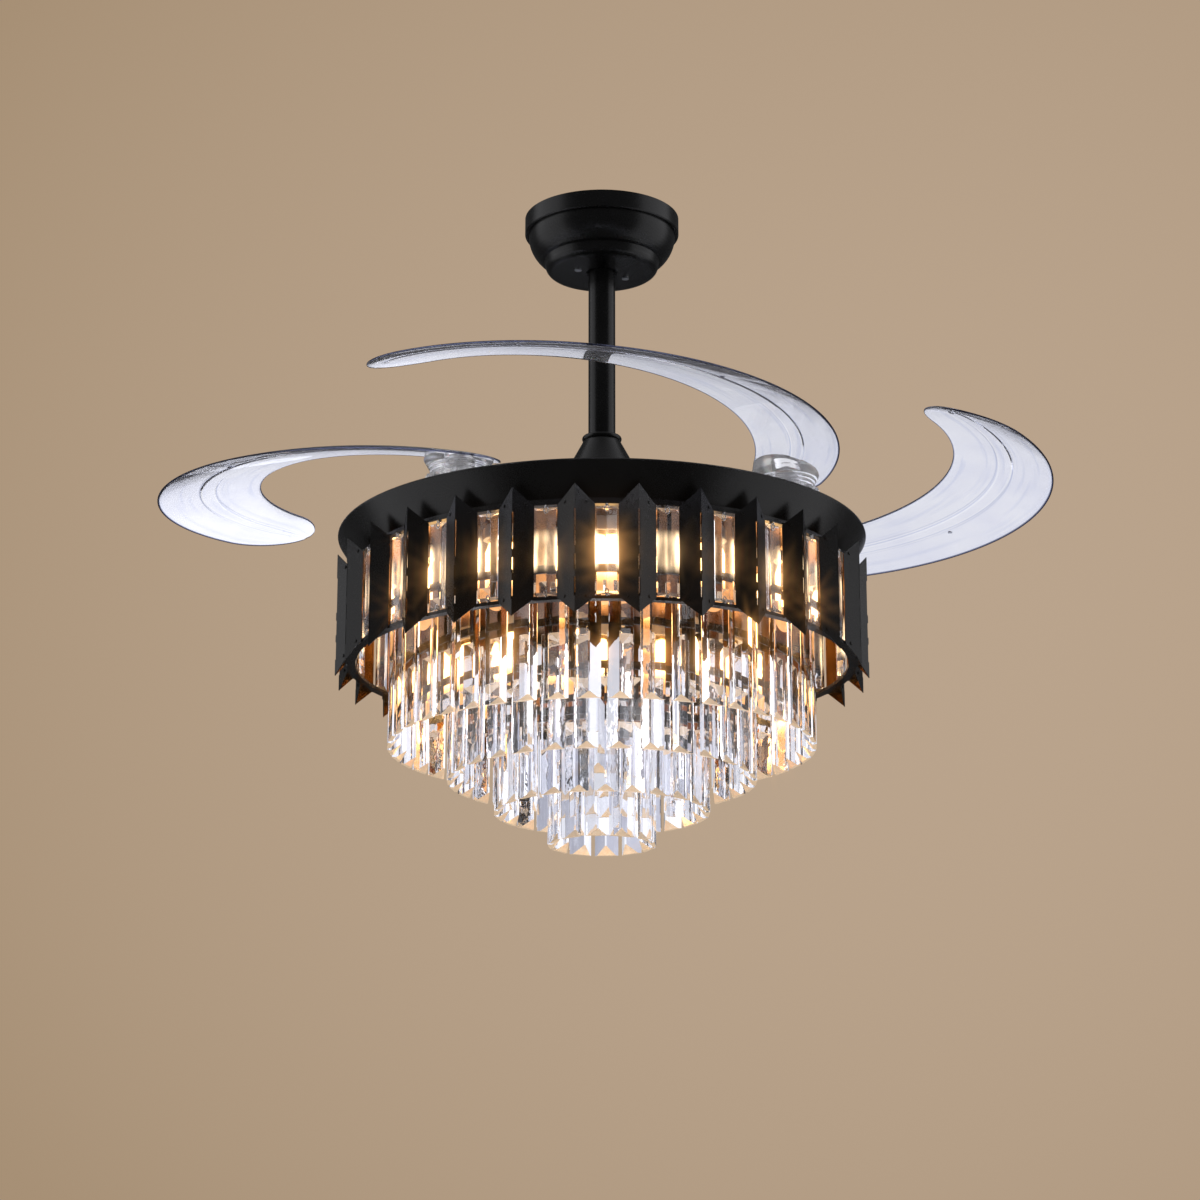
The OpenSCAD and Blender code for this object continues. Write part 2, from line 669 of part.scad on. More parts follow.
module stator_core() {
    half_a = 180 / teeth_n - 2;
    far = 2 * stator_r;
    color(steel) at_rim() translate([0, 0, stator_z]) linear_extrude(stator_h) difference() {
        union() {
            circle(r = stator_hub_r);
            for (i = [0:teeth_n - 1]) rotate(360 * i / teeth_n) {
                translate([0, -tooth_w / 2]) square([stator_r - shoe_t / 2, tooth_w]);
                intersection() {
                    difference() {
                        circle(r = stator_r);
                        circle(r = stator_r - shoe_t);
                    }
                    polygon([[0, 0], far * [cos(half_a), sin(half_a)], far * [cos(half_a), -sin(half_a)]]);
                }
            }
        }
        circle(r = shaft_r + pin_gap);
    }
}

module stator_windings() {
    x0 = stator_hub_r + 2;
    x1 = stator_r - shoe_t - 2;
    slot_w = tooth_w + 2 * seat_gap;
    color(copper) at_rim() for (i = [0:teeth_n - 1]) rotate([0, 0, 360 * i / teeth_n]) difference() {
        translate([x0, -coil_w / 2, stator_z - coil_over])
            cube([x1 - x0, coil_w, stator_h + 2 * coil_over]);
        translate([x0 - 1, -slot_w / 2, stator_z - seat_gap])
            cube([x1 - x0 + 2, slot_w, stator_h + 2 * seat_gap]);
    }
}

// Ball bearing with a groove in each face between its two races
module bearing(z) {
    color(chrome) at_rim() difference() {
        tube(bearing_r, shaft_r + pin_gap, z, z + bearing_h);
        for (f = [z - 0.5, z + bearing_h - 0.5])
            tube(bearing_r - race_t, shaft_r + race_t, f, f + 1);
    }
}

module upper_bearing() {
    bearing(motor_top_z - motor_wall - bearing_h - seat_gap);
}

module lower_bearing() {
    bearing(-motor_depth + motor_wall + seat_gap);
}

module motor_top_shell() {
    c = [motor_r - shoulder_r, motor_top_z - shoulder_r];
    roof = motor_top_z - motor_wall;
    hub = bearing_r + seat_gap;
    color(black) at_rim() difference() {
        rotate_extrude() polygon(concat(
            [[shaft_r + 2, motor_top_z]], arc(c, shoulder_r, 90, 0, 8),
            [[motor_r, deck_z + seat_gap + motor_wall], [flange_r, deck_z + seat_gap + motor_wall],
            [flange_r, deck_z + seat_gap], [motor_r - motor_wall, deck_z + seat_gap]],
            arc(c, shoulder_r - motor_wall, 0, 90, 8),
            [[hub + 4, roof], [hub + 4, roof - bearing_h], [hub, roof - bearing_h], [hub, roof],
            [shaft_r + 2, roof]]));
        ring_of(6, 0, bolt_r) translate([0, 0, deck_z - 1]) cylinder(r = shell_bolt_r + pin_gap, h = 9);
    }
}

module motor_base_shell() {
    c = [motor_r - base_corner_r, -motor_depth + base_corner_r];
    floor_z = -motor_depth + motor_wall;
    hub = bearing_r + seat_gap;
    color(black) at_rim() difference() {
        rotate_extrude() polygon(concat(
            [[shaft_r + 2, -motor_depth]], arc(c, base_corner_r, -90, 0, 6),
            [[motor_r, -seat_gap - motor_wall], [flange_r, -seat_gap - motor_wall],
            [flange_r, -seat_gap], [motor_r - motor_wall, -seat_gap]],
            arc(c, base_corner_r - motor_wall, 0, -90, 6),
            [[hub + 4, floor_z], [hub + 4, floor_z + bearing_h], [hub, floor_z + bearing_h],
            [hub, floor_z], [shaft_r + 2, floor_z]]));
        ring_of(6, 0, bolt_r) translate([0, 0, -9]) cylinder(r = shell_bolt_r + pin_gap, h = 12);
    }
}

module magnet_ring() {
    color([0.3, 0.3, 0.32]) at_rim()
        tube(magnet_in_r + magnet_t - seat_gap, magnet_in_r, magnet_z, magnet_z + magnet_h);
}

module shell_bolts() {
    top = deck_z + motor_wall + 2 * seat_gap;
    color(steel) at_rim() ring_of(6, 0, bolt_r) {
        bolt_up(shell_bolt_r, -motor_wall - 2 * seat_gap, top + shell_nut_h + bolt_over, shell_head_r,
            shell_head_h);
        translate([0, 0, top]) cylinder(r = shell_head_r, h = shell_nut_h, $fn = 6);
    }
}

// ----------------------------------------------------- tray and synchroniser

// Places a piece at each pivot, +X pointing away from the fan's axis
module at_pivot(i) {
    at_rim() rotate([0, 0, pivot_a + 360 * i / blades_n]) translate([pivot_r, 0, 0]) children();
}

module at_pivots() {
    for (i = [0:blades_n - 1]) at_pivot(i) children();
}

// Places a piece on the guide track, halfway between two pivots
module on_track() {
    at_rim() for (i = [0:blades_n - 1])
        rotate([0, 0, pivot_a + 360 * (i + 0.5) / blades_n])
            translate([track_r - track_w / 2, 0, 0]) children();
}

module blade_tray() {
    color(black) difference() {
        at_rim() difference() {
            cylinder(r = tray_r, h = tray_t, $fn = 120);
            translate([0, 0, -1]) cylinder(r = magnet_in_r + 1, h = tray_t + 2);
            ring_of(6, 0, bolt_r) translate([0, 0, -1])
                cylinder(r = shell_bolt_r + pin_gap, h = tray_t + 2);
        }
        at_pivots() translate([0, 0, -1]) cylinder(r = post_r + pin_gap, h = tray_t + 2);
        on_track() translate([0, 0, -1]) cylinder(r = track_screw_r + pin_gap, h = tray_t + 2);
    }
}

module guide_track() {
    color(black) difference() {
        at_rim() tube(track_r - pin_gap, track_r - track_w, deck_z, track_top_z);
        on_track() cylinder(r = track_screw_r + pin_gap, h = track_top_z + 1);
    }
}

module pivot_posts() {
    color(steel) at_pivots() {
        translate([0, 0, -post_head_h]) cylinder(r = washer_r, h = post_head_h - seat_gap);
        translate([0, 0, -post_head_h])
            cylinder(r = post_r, h = post_head_h + boss_top_z + washer_t + 2 * seat_gap);
    }
}

module pivot_washers() {
    color(steel) at_pivots() {
        tube(washer_r, post_r + pin_gap, boss_top_z + seat_gap, boss_top_z + seat_gap + washer_t);
        tube(thrust_r, post_r + pin_gap, deck_z + pin_gap, gear_z - pin_gap);
    }
}

module pivot_screws() {
    z = boss_top_z + washer_t + 3 * seat_gap;
    color(black) at_pivots() difference() {
        translate([0, 0, z]) cylinder(r1 = cap_r, r2 = cap_r - cap_edge, h = cap_h);
        translate([0, 0, z + cap_h - key_depth]) cylinder(r = key_r, h = key_depth + 1, $fn = 6);
    }
}

// Closed tube swept along a helix whose wire is round and cut square at both ends
module coil(coil_r, wire_r, rise, curls, steps, sides) {
    n = curls * steps;
    rings = [for (i = [0:n]) [for (j = [0:sides - 1])
        let (a = 360 * i / steps, b = 360 * j / sides, r = coil_r + wire_r * cos(b))
            [r * cos(a), r * sin(a), rise * i / steps + wire_r * sin(b)]]];
    pts = [for (ring = rings) for (p = ring) p];
    side = [for (i = [0:n - 1]) for (j = [0:sides - 1])
        let (k = (j + 1) % sides, a = i * sides, b = a + sides)
            each [[a + j, b + j, b + k], [a + j, b + k, a + k]]];
    caps = [for (j = [1:sides - 2]) each [[0, j, j + 1],
        [n * sides, n * sides + j + 1, n * sides + j]]];
    polyhedron(points = pts, faces = concat(side, caps));
}

module return_springs() {
    color(steel) at_pivots() translate([0, 0, pocket_z + spring_wire_r + 0.3])
        coil(spring_coil_r, spring_wire_r, spring_pitch, spring_curls, 12, 6);
    echo(least_gap_between_curls = spring_pitch - 2 * spring_wire_r);
}

module ring_retainers() {
    z = track_top_z + seat_gap;
    color(steel) on_track() difference() {
        translate([track_w / 2 + ring_reach - retainer_l, -retainer_w / 2, z])
            cube([retainer_l, retainer_w, retainer_t]);
        translate([0, 0, z - 1]) cylinder(r = track_screw_r + pin_gap, h = retainer_t + 2);
    }
}

module retainer_screws() {
    z = track_top_z + 2 * seat_gap + retainer_t;
    color(steel) on_track() {
        translate([0, 0, seat_gap]) cylinder(r = track_screw_r, h = z - seat_gap);
        translate([0, 0, z]) cylinder(r1 = 2 * track_screw_r, r2 = 1.5 * track_screw_r, h = track_head_h);
    }
}

// Outline of one gear tooth at angle a: straight flanks, pitch line at radius r
function tooth(r, a) = let (
    half = (PI * gear_m - backlash) / 4,
    lo = r - 1.1 * gear_m,
    hi = r + 0.8 * gear_m,
    foot = (half + 1.1 * gear_m * tan(pressure_a)) / lo * deg,
    tip = (half - 0.8 * gear_m * tan(pressure_a)) / hi * deg) [
        lo * [cos(a - foot), sin(a - foot)], hi * [cos(a - tip), sin(a - tip)],
        hi * [cos(a + tip), sin(a + tip)], lo * [cos(a + foot), sin(a + foot)]];

module pinion() {
    step = 360 / pinion_n;
    pts = [for (i = [0:pinion_n - 1]) each tooth(pinion_r, 180 + step * (i + 0.5))];
    translate([0, 0, gear_z]) linear_extrude(gear_h) polygon(pts);
}

// One tooth of the ring, its foot sunk into the ring's body
function sync_tooth(a) = let (t = tooth(sync_pitch_r(), a), k = 1 - 1 / sync_pitch_r())
    [t[0] * k, t[0], t[1], t[2], t[3], t[3] * k];

module sync_ring() {
    step = 180 * gear_m / sync_pitch_r();
    color([0.75, 0.74, 0.7]) at_rim() difference() {
        union() {
            translate([0, 0, gear_z]) cylinder(r = sync_pitch_r() - 1.1 * gear_m, h = gear_h, $fn = 120);
            for (i = [0:blades_n - 1]) for (k = [-teeth_before:teeth_past])
                translate([0, 0, gear_z]) linear_extrude(gear_h)
                    polygon(sync_tooth(pivot_a + 360 * i / blades_n + k * step));
        }
        translate([0, 0, gear_z - 1]) cylinder(r = track_r, h = gear_h + 2, $fn = 120);
    }
}

// ------------------------------------------------------------------ blades

outer_c = -outer_off * [cos(fold_a), sin(fold_a)];
inner_c = -inner_off * [cos(inner_a), sin(inner_a)];
function outer_at(u) = outer_c + outer_r * [cos(fold_a - u * outer_arc), sin(fold_a - u * outer_arc)];
function inner_at(u) = inner_c + inner_r * [cos(inner_a - u * inner_arc), sin(inner_a - u * inner_arc)];

// Share of the full width left at u: both ends of the blade are round
function width_at(u) = let (
    t = u > 1 - tip_share ? (u - 1 + tip_share) / tip_share : u < 0 ? -u / root_share : 0)
    max(0.14, sqrt(max(0, 1 - t * t)));

// Stations along the blade, closer together in the round ends
blade_steps = concat([for (i = [0:4]) -root_share * cos(90 * i / 5)],
    [for (i = [0:25]) (1 - tip_share) * i / 26],
    [for (i = [0:7]) 1 - tip_share + tip_share * sin(90 * i / 7)]);

// Stations across the blade, from the inner edge (-1) to the outer (1)
rib_side = 0.03;
blade_v = concat([for (k = [0:3]) -1 + (1 + rib_in - rib_side) * k / 3],
    [rib_in, rib_out], [for (k = [0:3]) rib_out + rib_side + (1 - rib_out - rib_side) * k / 3]);

// Height of the rib below the blade at a station
function rib_at(u, v) = u > 0.02 && u < 0.97 && v >= rib_in && v <= rib_out ? rib_h : 0;

// A point of the blade on its upper (side 1) or lower (side -1) face
function skin_point(u, v, side) = let (
    o = outer_at(u), i = inner_at(u), m = (o + i) / 2, h = (o - i) / 2, s = width_at(u),
    p = m + h * v * s,
    fall = norm(h) * v * s * pitch,
    rise = root_z + (tip_z - root_z) * u + camber * (1 - v * v) * s,
    t = (edge_t + (blade_t - edge_t) * (1 - v * v) * s) / 2 + (side < 0 ? rib_at(u, v) : 0))
    [p[0], p[1], rise - fall + side * t];

module blade_skin() {
    rows = len(blade_steps);
    cols = len(blade_v);
    pts = [for (side = [1, -1]) for (u = blade_steps) for (v = blade_v) skin_point(u, v, side)];
    low = rows * cols;
    top = [for (i = [0:rows - 2]) for (j = [0:cols - 2])
        let (a = i * cols + j, b = a + cols)
            each [[a, a + 1, b + 1], [a, b + 1, b]]];
    bottom = [for (f = top) [f[0] + low, f[2] + low, f[1] + low]];
    edges = [for (i = [0:rows - 2]) for (j = [0, cols - 1])
        let (a = i * cols + j, b = a + cols)
            each j == 0 ? [[a, b, b + low], [a, b + low, a + low]]
                : [[a, b + low, b], [a, a + low, b + low]]];
    ends = [for (j = [0:cols - 2]) for (i = [0, rows - 1])
        let (a = i * cols + j, b = a + 1)
            each i == 0 ? [[a, b + low, b], [a, a + low, b + low]]
                : [[a, b, b + low], [a, b + low, a + low]]];
    polyhedron(points = pts, faces = concat(top, bottom, edges, ends));
}

// Round mark where the blade was moulded, on the rib's inner side
module mould_mark() {
    p = skin_point(mark_u, rib_out + 0.1, -1);
    translate([p[0], p[1], p[2] - rib_h]) cylinder(r = mark_r, h = blade_t / 2 + rib_h, $fn = 24);
}

// Height of the plane through the blade's two edges at a point near the pivot
root_half = (outer_at(0) - inner_at(0)) / 2;
root_mid = (outer_at(0) + inner_at(0)) / 2;
root_across = root_half / norm(root_half);
root_along = [root_across[1], -root_across[0]];
root_climb = (tip_z - root_z) / (outer_r + inner_r) * 2 * deg / (outer_arc + inner_arc) * 2;
function root_plane(p) = root_z - pitch * (p - root_mid) * root_across
    + root_climb * (p - root_mid) * root_along;

// Everything under the blade's root, out to a square wider than the knuckle
module under_root() {
    far = 2 * knuckle_wide_r;
    corners = [[-far, -far], [far, -far], [far, far], [-far, far]];
    pts = concat([for (c = corners) [c[0], c[1], 0]],
        [for (c = corners) [c[0], c[1], root_plane(c) + knuckle_sink]]);
    polyhedron(points = pts, faces = [[0, 1, 2], [0, 2, 3], [4, 6, 5], [4, 7, 6], [0, 4, 5], [0, 5, 1],
        [1, 5, 6], [1, 6, 2], [2, 6, 7], [2, 7, 3], [3, 7, 4], [3, 4, 0]]);
}

// Moulded knuckle: pinion, and flared skirt with ring grooves up to the blade
module knuckle() {
    flare = (knuckle_wide_r - knuckle_foot_r) / (knuckle_wide_z - collar_z);
    top = root_plane(-knuckle_wide_r * root_across) + knuckle_sink;
    pinion();
    translate([0, 0, gear_z]) cylinder(r = pinion_r - 1.5 * gear_m, h = collar_z - gear_z + 1);
    intersection() {
        difference() {
            rotate_extrude() polygon([[0, collar_z], [knuckle_foot_r, collar_z],
                [knuckle_wide_r, knuckle_wide_z], [knuckle_top_r, top], [0, top]]);
            for (k = [0:grooves_n - 1]) let (z = groove_step * (k + 0.5))
                tube(2 * knuckle_wide_r, knuckle_foot_r + flare * z - groove_depth,
                    collar_z + z, collar_z + z + groove_h);
        }
        under_root();
    }
}

module blade(i) {
    color(clear_tint) at_pivot(i) {
        difference() {
            union() {
                blade_skin();
                mould_mark();
                knuckle();
            }
            translate([0, 0, gear_z - 1]) cylinder(r = post_r + pin_gap, h = 2 * boss_top_z);
            translate([0, 0, boss_top_z]) cylinder(r = washer_r + recess_play, h = 2 * blade_t + camber);
            translate([0, 0, pocket_z]) cylinder(r = pocket_r, h = pocket_top - pocket_z);
        }
    }
}

module blade_1() { blade(0); }
module blade_2() { blade(1); }
module blade_3() { blade(2); }
module blade_4() { blade(3); }

// -------------------------------------------------------------------- drum

module lamp_pan() {
    wall_in = pan_r - pan_wall;
    color(black) at_rim() difference() {
        rotate_extrude($fn = 144) polygon(concat(
            arc([drum_r - bead_r, -bead_r], bead_r, 180, -30, 8),
            [[pan_r, pan_floor_z], [pan_r, lip_z], [wall_in, lip_z],
            [wall_in, pan_under_z], [shaft_r + seat_gap, pan_under_z],
            [shaft_r + seat_gap, pan_floor_z], [wall_in, pan_floor_z]]));
        ring_of(lamps_n, window_a, lamp_r) translate([0, 0, pan_under_z - 1])
            cylinder(r = wire_hole_r, h = pan_t + 2);
    }
}

module pan_nut() {
    z = pan_under_z - seat_gap - pan_nut_h;
    color(steel) at_rim() difference() {
        union() {
            translate([0, 0, z]) cylinder(r = shaft_r + pan_nut_w, h = pan_nut_h, $fn = 6);
            translate([0, 0, z + pan_nut_h - nut_flange_h])
                cylinder(r = shaft_r + nut_flange_w, h = nut_flange_h);
        }
        translate([0, 0, z - 1]) cylinder(r = shaft_r + pin_gap, h = pan_nut_h + 2);
    }
}

// Inside depth of a fin's fold, from its ridge to where the two sheets part
fin_slope = fin_half / fin_depth;
fin_len = sqrt(fin_half * fin_half + fin_depth * fin_depth);
fold_in = fin_t * fin_len / fin_half + 2 * seat_gap;

// Flat ring whose points fill the folds of the fins
module star_ring(z, t) {
    tooth_tip = ridge_r - fold_in;
    tooth_foot = ring_out_r - 1;
    color(black) at_rim() translate([0, 0, z]) linear_extrude(t) difference() {
        union() {
            circle(r = ring_out_r, $fn = 168);
            for (i = [0:fins_n - 1]) rotate(window_a + 360 * (i + 0.5) / fins_n)
                polygon([[0, -tooth_tip], [fin_slope * (tooth_tip - tooth_foot), -tooth_foot],
                    [-fin_slope * (tooth_tip - tooth_foot), -tooth_foot]]);
        }
        circle(r = ring_in_r, $fn = 168);
    }
}

module fin_top_ring() {
    star_ring(top_ring_z, top_ring_t);
}

module fin_bottom_ring() {
    star_ring(-bottom_ring_z, bottom_ring_t);
}

// One half of a fin, flat: x from the ridge to the inner edge, y is height
module fin_half_outline() {
    ridge = [for (s = slits) each [[0, -s[0]], [slit_half, -s[0]], [slit_half, -s[1]], [0, -s[1]]]];
    polygon(concat([[0, -ridge_top]], ridge, [[0, -ridge_bottom],
        [fin_len, -ridge_bottom + fin_drop], [fin_len, -ridge_top - fin_drop]]));
}

// Fin with its ridge at the origin, opening towards +Y
module fin() {
    turn = atan2(fin_depth, fin_half);
    for (s = [0, 1]) mirror([s, 0, 0]) rotate([0, 0, turn]) rotate([90, 0, 0])
        translate([0, 0, -fin_t]) linear_extrude(fin_t) fin_half_outline();
}

module shade_fins() {
    color(black) at_rim() ring_of(fins_n, window_a + 180 / fins_n, ridge_r) fin();
}

module fin_screws() {
    turn = atan2(fin_depth, fin_half);
    x = fin_screw_at * fin_len;
    color(steel) at_rim() ring_of(fins_n, window_a + 180 / fins_n, ridge_r)
        for (s = [0, 1]) mirror([s, 0, 0]) rotate([0, 0, turn])
            for (z = [top_ring_z + top_ring_t / 2, -bottom_ring_z + bottom_ring_t / 2])
                translate([x, -seat_gap / 2, z]) rotate([90, 0, 0])
                    cylinder(r = fin_screw_r, h = fin_screw_h, $fn = 16);
}

// Three-sided crystal, top end at z = 0, flat face at y = 0, ridge at +y
module crystal(w, depth, l) {
    bevel = depth - crystal_flat;
    intersection() {
        translate([0, 0, -l]) linear_extrude(l) polygon([[-w / 2, 0], [w / 2, 0],
            [w / 2, crystal_edge], [crystal_ridge, depth], [-crystal_ridge, depth],
            [-w / 2, crystal_edge]]);
        translate([w, 0, 0]) rotate([90, 0, -90]) mirror([1, 0, 0]) linear_extrude(2 * w)
            polygon([[0, 0], [crystal_flat, 0], [depth + 1, -bevel - 1], [depth + 1, -l + bevel + 1],
                [crystal_flat, -l], [0, -l]]);
    }
}

module window_crystals() {
    color(clear_tint) at_rim() ring_of(fins_n, window_a, window_r)
        translate([0, 0, window_top_z]) crystal(window_w, window_depth, window_top_z - window_bottom_z);
}

module window_pins() {
    l = window_pin_l - 2 * seat_gap;
    color(chrome) at_rim() ring_of(fins_n, window_a, window_r - crystal_flat / 2)
        for (z = [window_top_z + seat_gap, window_bottom_z - seat_gap - l])
            translate([0, 0, z]) cylinder(r = hook_r + 0.3, h = l, $fn = 16);
}

// Height of a tier's crystal tops
function tier_top(k) = -tier_bottom[k] + crystal_l;

module tier_ring(k) {
    r = tier_r[k] - crystal_flat / 2;
    z = tier_top(k) + hook_l;
    color(black) at_rim() {
        tube(r + tier_ring_t / 2, r - tier_ring_t / 2, z, z + tier_ring_h, $fn = 120);
        ring_of(tier_n[k], tier_a[k], r) translate([0, 0, z - hook_l + seat_gap])
            cylinder(r = hook_r, h = hook_l, $fn = 16);
    }
}

module tier_ring_1() { tier_ring(0); }
module tier_ring_2() { tier_ring(1); }
module tier_ring_3() { tier_ring(2); }
module tier_ring_4() { tier_ring(3); }

module tier_crystals(k) {
    color(clear_tint) at_rim() ring_of(tier_n[k], tier_a[k], tier_r[k])
        translate([0, 0, tier_top(k)]) crystal(crystal_w, crystal_depth, crystal_l);
}

module tier_crystals_1() { tier_crystals(0); }
module tier_crystals_2() { tier_crystals(1); }
module tier_crystals_3() { tier_crystals(2); }
module tier_crystals_4() { tier_crystals(3); }

module hanging_rods() {
    color(black) at_rim() for (k = [0:3]) {
        foot = tier_top(k) + hook_l + tier_ring_h + seat_gap;
        ring_of(hang_rods_n, hang_rod_a, tier_r[k] - crystal_flat / 2)
            translate([0, 0, foot]) cylinder(r = hang_rod_r, h = pan_under_z - seat_gap - foot, $fn = 24);
    }
}

module lamp_sockets() {
    color(ivory) at_rim() ring_of(lamps_n, window_a, lamp_r)
        translate([0, 0, pan_under_z - seat_gap - socket_h]) {
            cylinder(r = socket_r, h = socket_h - socket_step_h);
            cylinder(r = socket_r - socket_step_w, h = socket_h);
        }
}

module lamp_bulbs() {
    z = pan_under_z - socket_h - 2 * seat_gap;
    color(warm_glass) at_rim() ring_of(lamps_n, window_a, lamp_r) translate([0, 0, z])
        rotate_extrude($fn = 36) polygon(concat([[0, 0], [bulb_neck_r, 0], [bulb_neck_r, -bulb_neck / 3],
            [bulb_r, -bulb_neck]], arc([0, -bulb_l + bulb_r], bulb_r, 0, -90, 8)));
}

// ---------------------------------------------------------------- assembly

ceiling_bracket();
receiver_box();
canopy();
canopy_ring();
canopy_screws();
cross_pin();
hanger_ball();
downrod();
rod_coupling();
coupling_bolt();
coupling_cover();
motor_shaft();
stator_core();
stator_windings();
upper_bearing();
lower_bearing();
motor_top_shell();
motor_base_shell();
magnet_ring();
shell_bolts();
blade_tray();
guide_track();
pivot_posts();
pivot_washers();
pivot_screws();
return_springs();
ring_retainers();
retainer_screws();
sync_ring();
blade_1();
blade_2();
blade_3();
blade_4();
lamp_pan();
pan_nut();
fin_top_ring();
fin_bottom_ring();
shade_fins();
fin_screws();
window_crystals();
window_pins();
tier_ring_1();
tier_ring_2();
tier_ring_3();
tier_ring_4();
tier_crystals_1();
tier_crystals_2();
tier_crystals_3();
tier_crystals_4();
hanging_rods();
lamp_sockets();
lamp_bulbs();
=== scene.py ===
"""Looks of the folding-blade ceiling fan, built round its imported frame. Metres, +Z up, front -Y."""

import json
import math

import bmesh
import bpy
from mathutils import Matrix, Vector


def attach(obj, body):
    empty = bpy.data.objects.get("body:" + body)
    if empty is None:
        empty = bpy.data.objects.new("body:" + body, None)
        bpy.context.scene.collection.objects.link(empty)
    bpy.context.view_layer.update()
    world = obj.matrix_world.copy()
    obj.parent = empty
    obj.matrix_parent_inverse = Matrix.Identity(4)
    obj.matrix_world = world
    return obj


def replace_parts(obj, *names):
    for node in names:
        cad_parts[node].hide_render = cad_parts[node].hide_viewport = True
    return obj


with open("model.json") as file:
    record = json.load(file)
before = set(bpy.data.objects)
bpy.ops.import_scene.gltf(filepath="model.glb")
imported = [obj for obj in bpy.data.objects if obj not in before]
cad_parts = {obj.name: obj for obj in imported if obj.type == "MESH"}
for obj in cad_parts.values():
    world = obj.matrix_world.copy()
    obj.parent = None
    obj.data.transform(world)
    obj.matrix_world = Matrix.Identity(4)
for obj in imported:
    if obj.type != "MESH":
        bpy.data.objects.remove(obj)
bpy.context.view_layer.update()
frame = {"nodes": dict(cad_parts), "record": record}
nodes = frame["nodes"]

MM = 0.001
TAU = 2 * math.pi
RIM_Z = -0.329  # the drum's top edge

# Windows between the fins
WINDOWS = 28
WINDOW_A = math.radians(1)  # direction of the first window, turned from the front
WINDOW_R = 0.2374
WINDOW_TOP, WINDOW_FOOT = RIM_Z - 0.0402, RIM_Z - 0.1204

# Tiers of hanging crystals, from the outermost in
TIER_R = (0.1995, 0.1436, 0.0997, 0.0494)
TIER_N = (44, 30, 24, 12)
TIER_A = (-3.4, 6.3, 2.0, -5.3)  # degrees
TIER_FOOT = (203, 234.5, 264, 294)  # millimetres under the rim
CRYSTAL_H = 0.106
TIER_TOP = tuple(RIM_Z - foot * MM + CRYSTAL_H for foot in TIER_FOOT)
PAINTED_SHADE_Z = RIM_Z - 0.128  # painted brown above this height: painted reflection of the dark inside
PAINTED_SHADE_FADE = 0.03

LAMPS = 12
LAMP_R = 0.175
LAMP_TOP = RIM_Z - 0.0461  # where a bulb leaves its holder

INSIDE = 0.9997  # keeps the smooth blades inside the box of the faceted ones

# The blade's form, as in the part's source: millimetres from its pivot and tray, angles in degrees
PIVOT_R, PIVOT_A = 211.8, -37.5
OUTER = dict(off=201.8, turn=54.7, r=236.5, arc=161)
INNER = dict(off=214.5, turn=41.8, r=184.7, arc=141)
ROOT_Z, TIP_Z, PITCH, CAMBER = 27.2, 64.5, 0.25, 3.0
BLADE_T, EDGE_T, TIP_SHARE, ROOT_SHARE = 3.4, 1.6, 0.1, 0.06
MIN_WIDTH = 0.14  # share of the blade's width at its very ends
RIB_IN, RIB_OUT, RIB_SIDE, RIB_H = -0.1, 0.16, 0.03, 0.8
RIB_FROM, RIB_TO = 0.02, 0.97
MARK_U, MARK_V, MARK_R = 0.42, 0.26, 2.2
COLLAR_Z, WIDE_Z, SINK, SEAT_Z = 8.9, 24.5, 1.5, 28.0
FOOT_R, WIDE_R, TOP_R, RECESS_R, BORE_R, POCKET_R = 23.0, 31.5, 29.5, 11.0, 4.05, 12.5
POCKET_Z, POCKET_TOP = 9.9, 25.0
GROOVES = tuple(3.2 * (k + 0.5) for k in range(3))
GROOVE_H, GROOVE_DEPTH, GROOVE_LEAN = 1.6, 1.4, 0.02
GEAR_Z, GEAR_H, TEETH, PINION_R, NECK_R = 3.4, 5.0, 28, 28.0, 25.0
TOOTH_ROOT, TOOTH_H, TOOTH_FROM, TOOTH_RISE = 2.2, 3.8, 0.14, 0.16

# Steps of the blade's mesh
ROOT_STEPS, BLADE_STEPS, TIP_STEPS, HALF_STEPS, ROUND_STEPS = 12, 110, 20, 15, 5
SHARP = math.radians(32)


# ---------------------------------------------------------------- materials

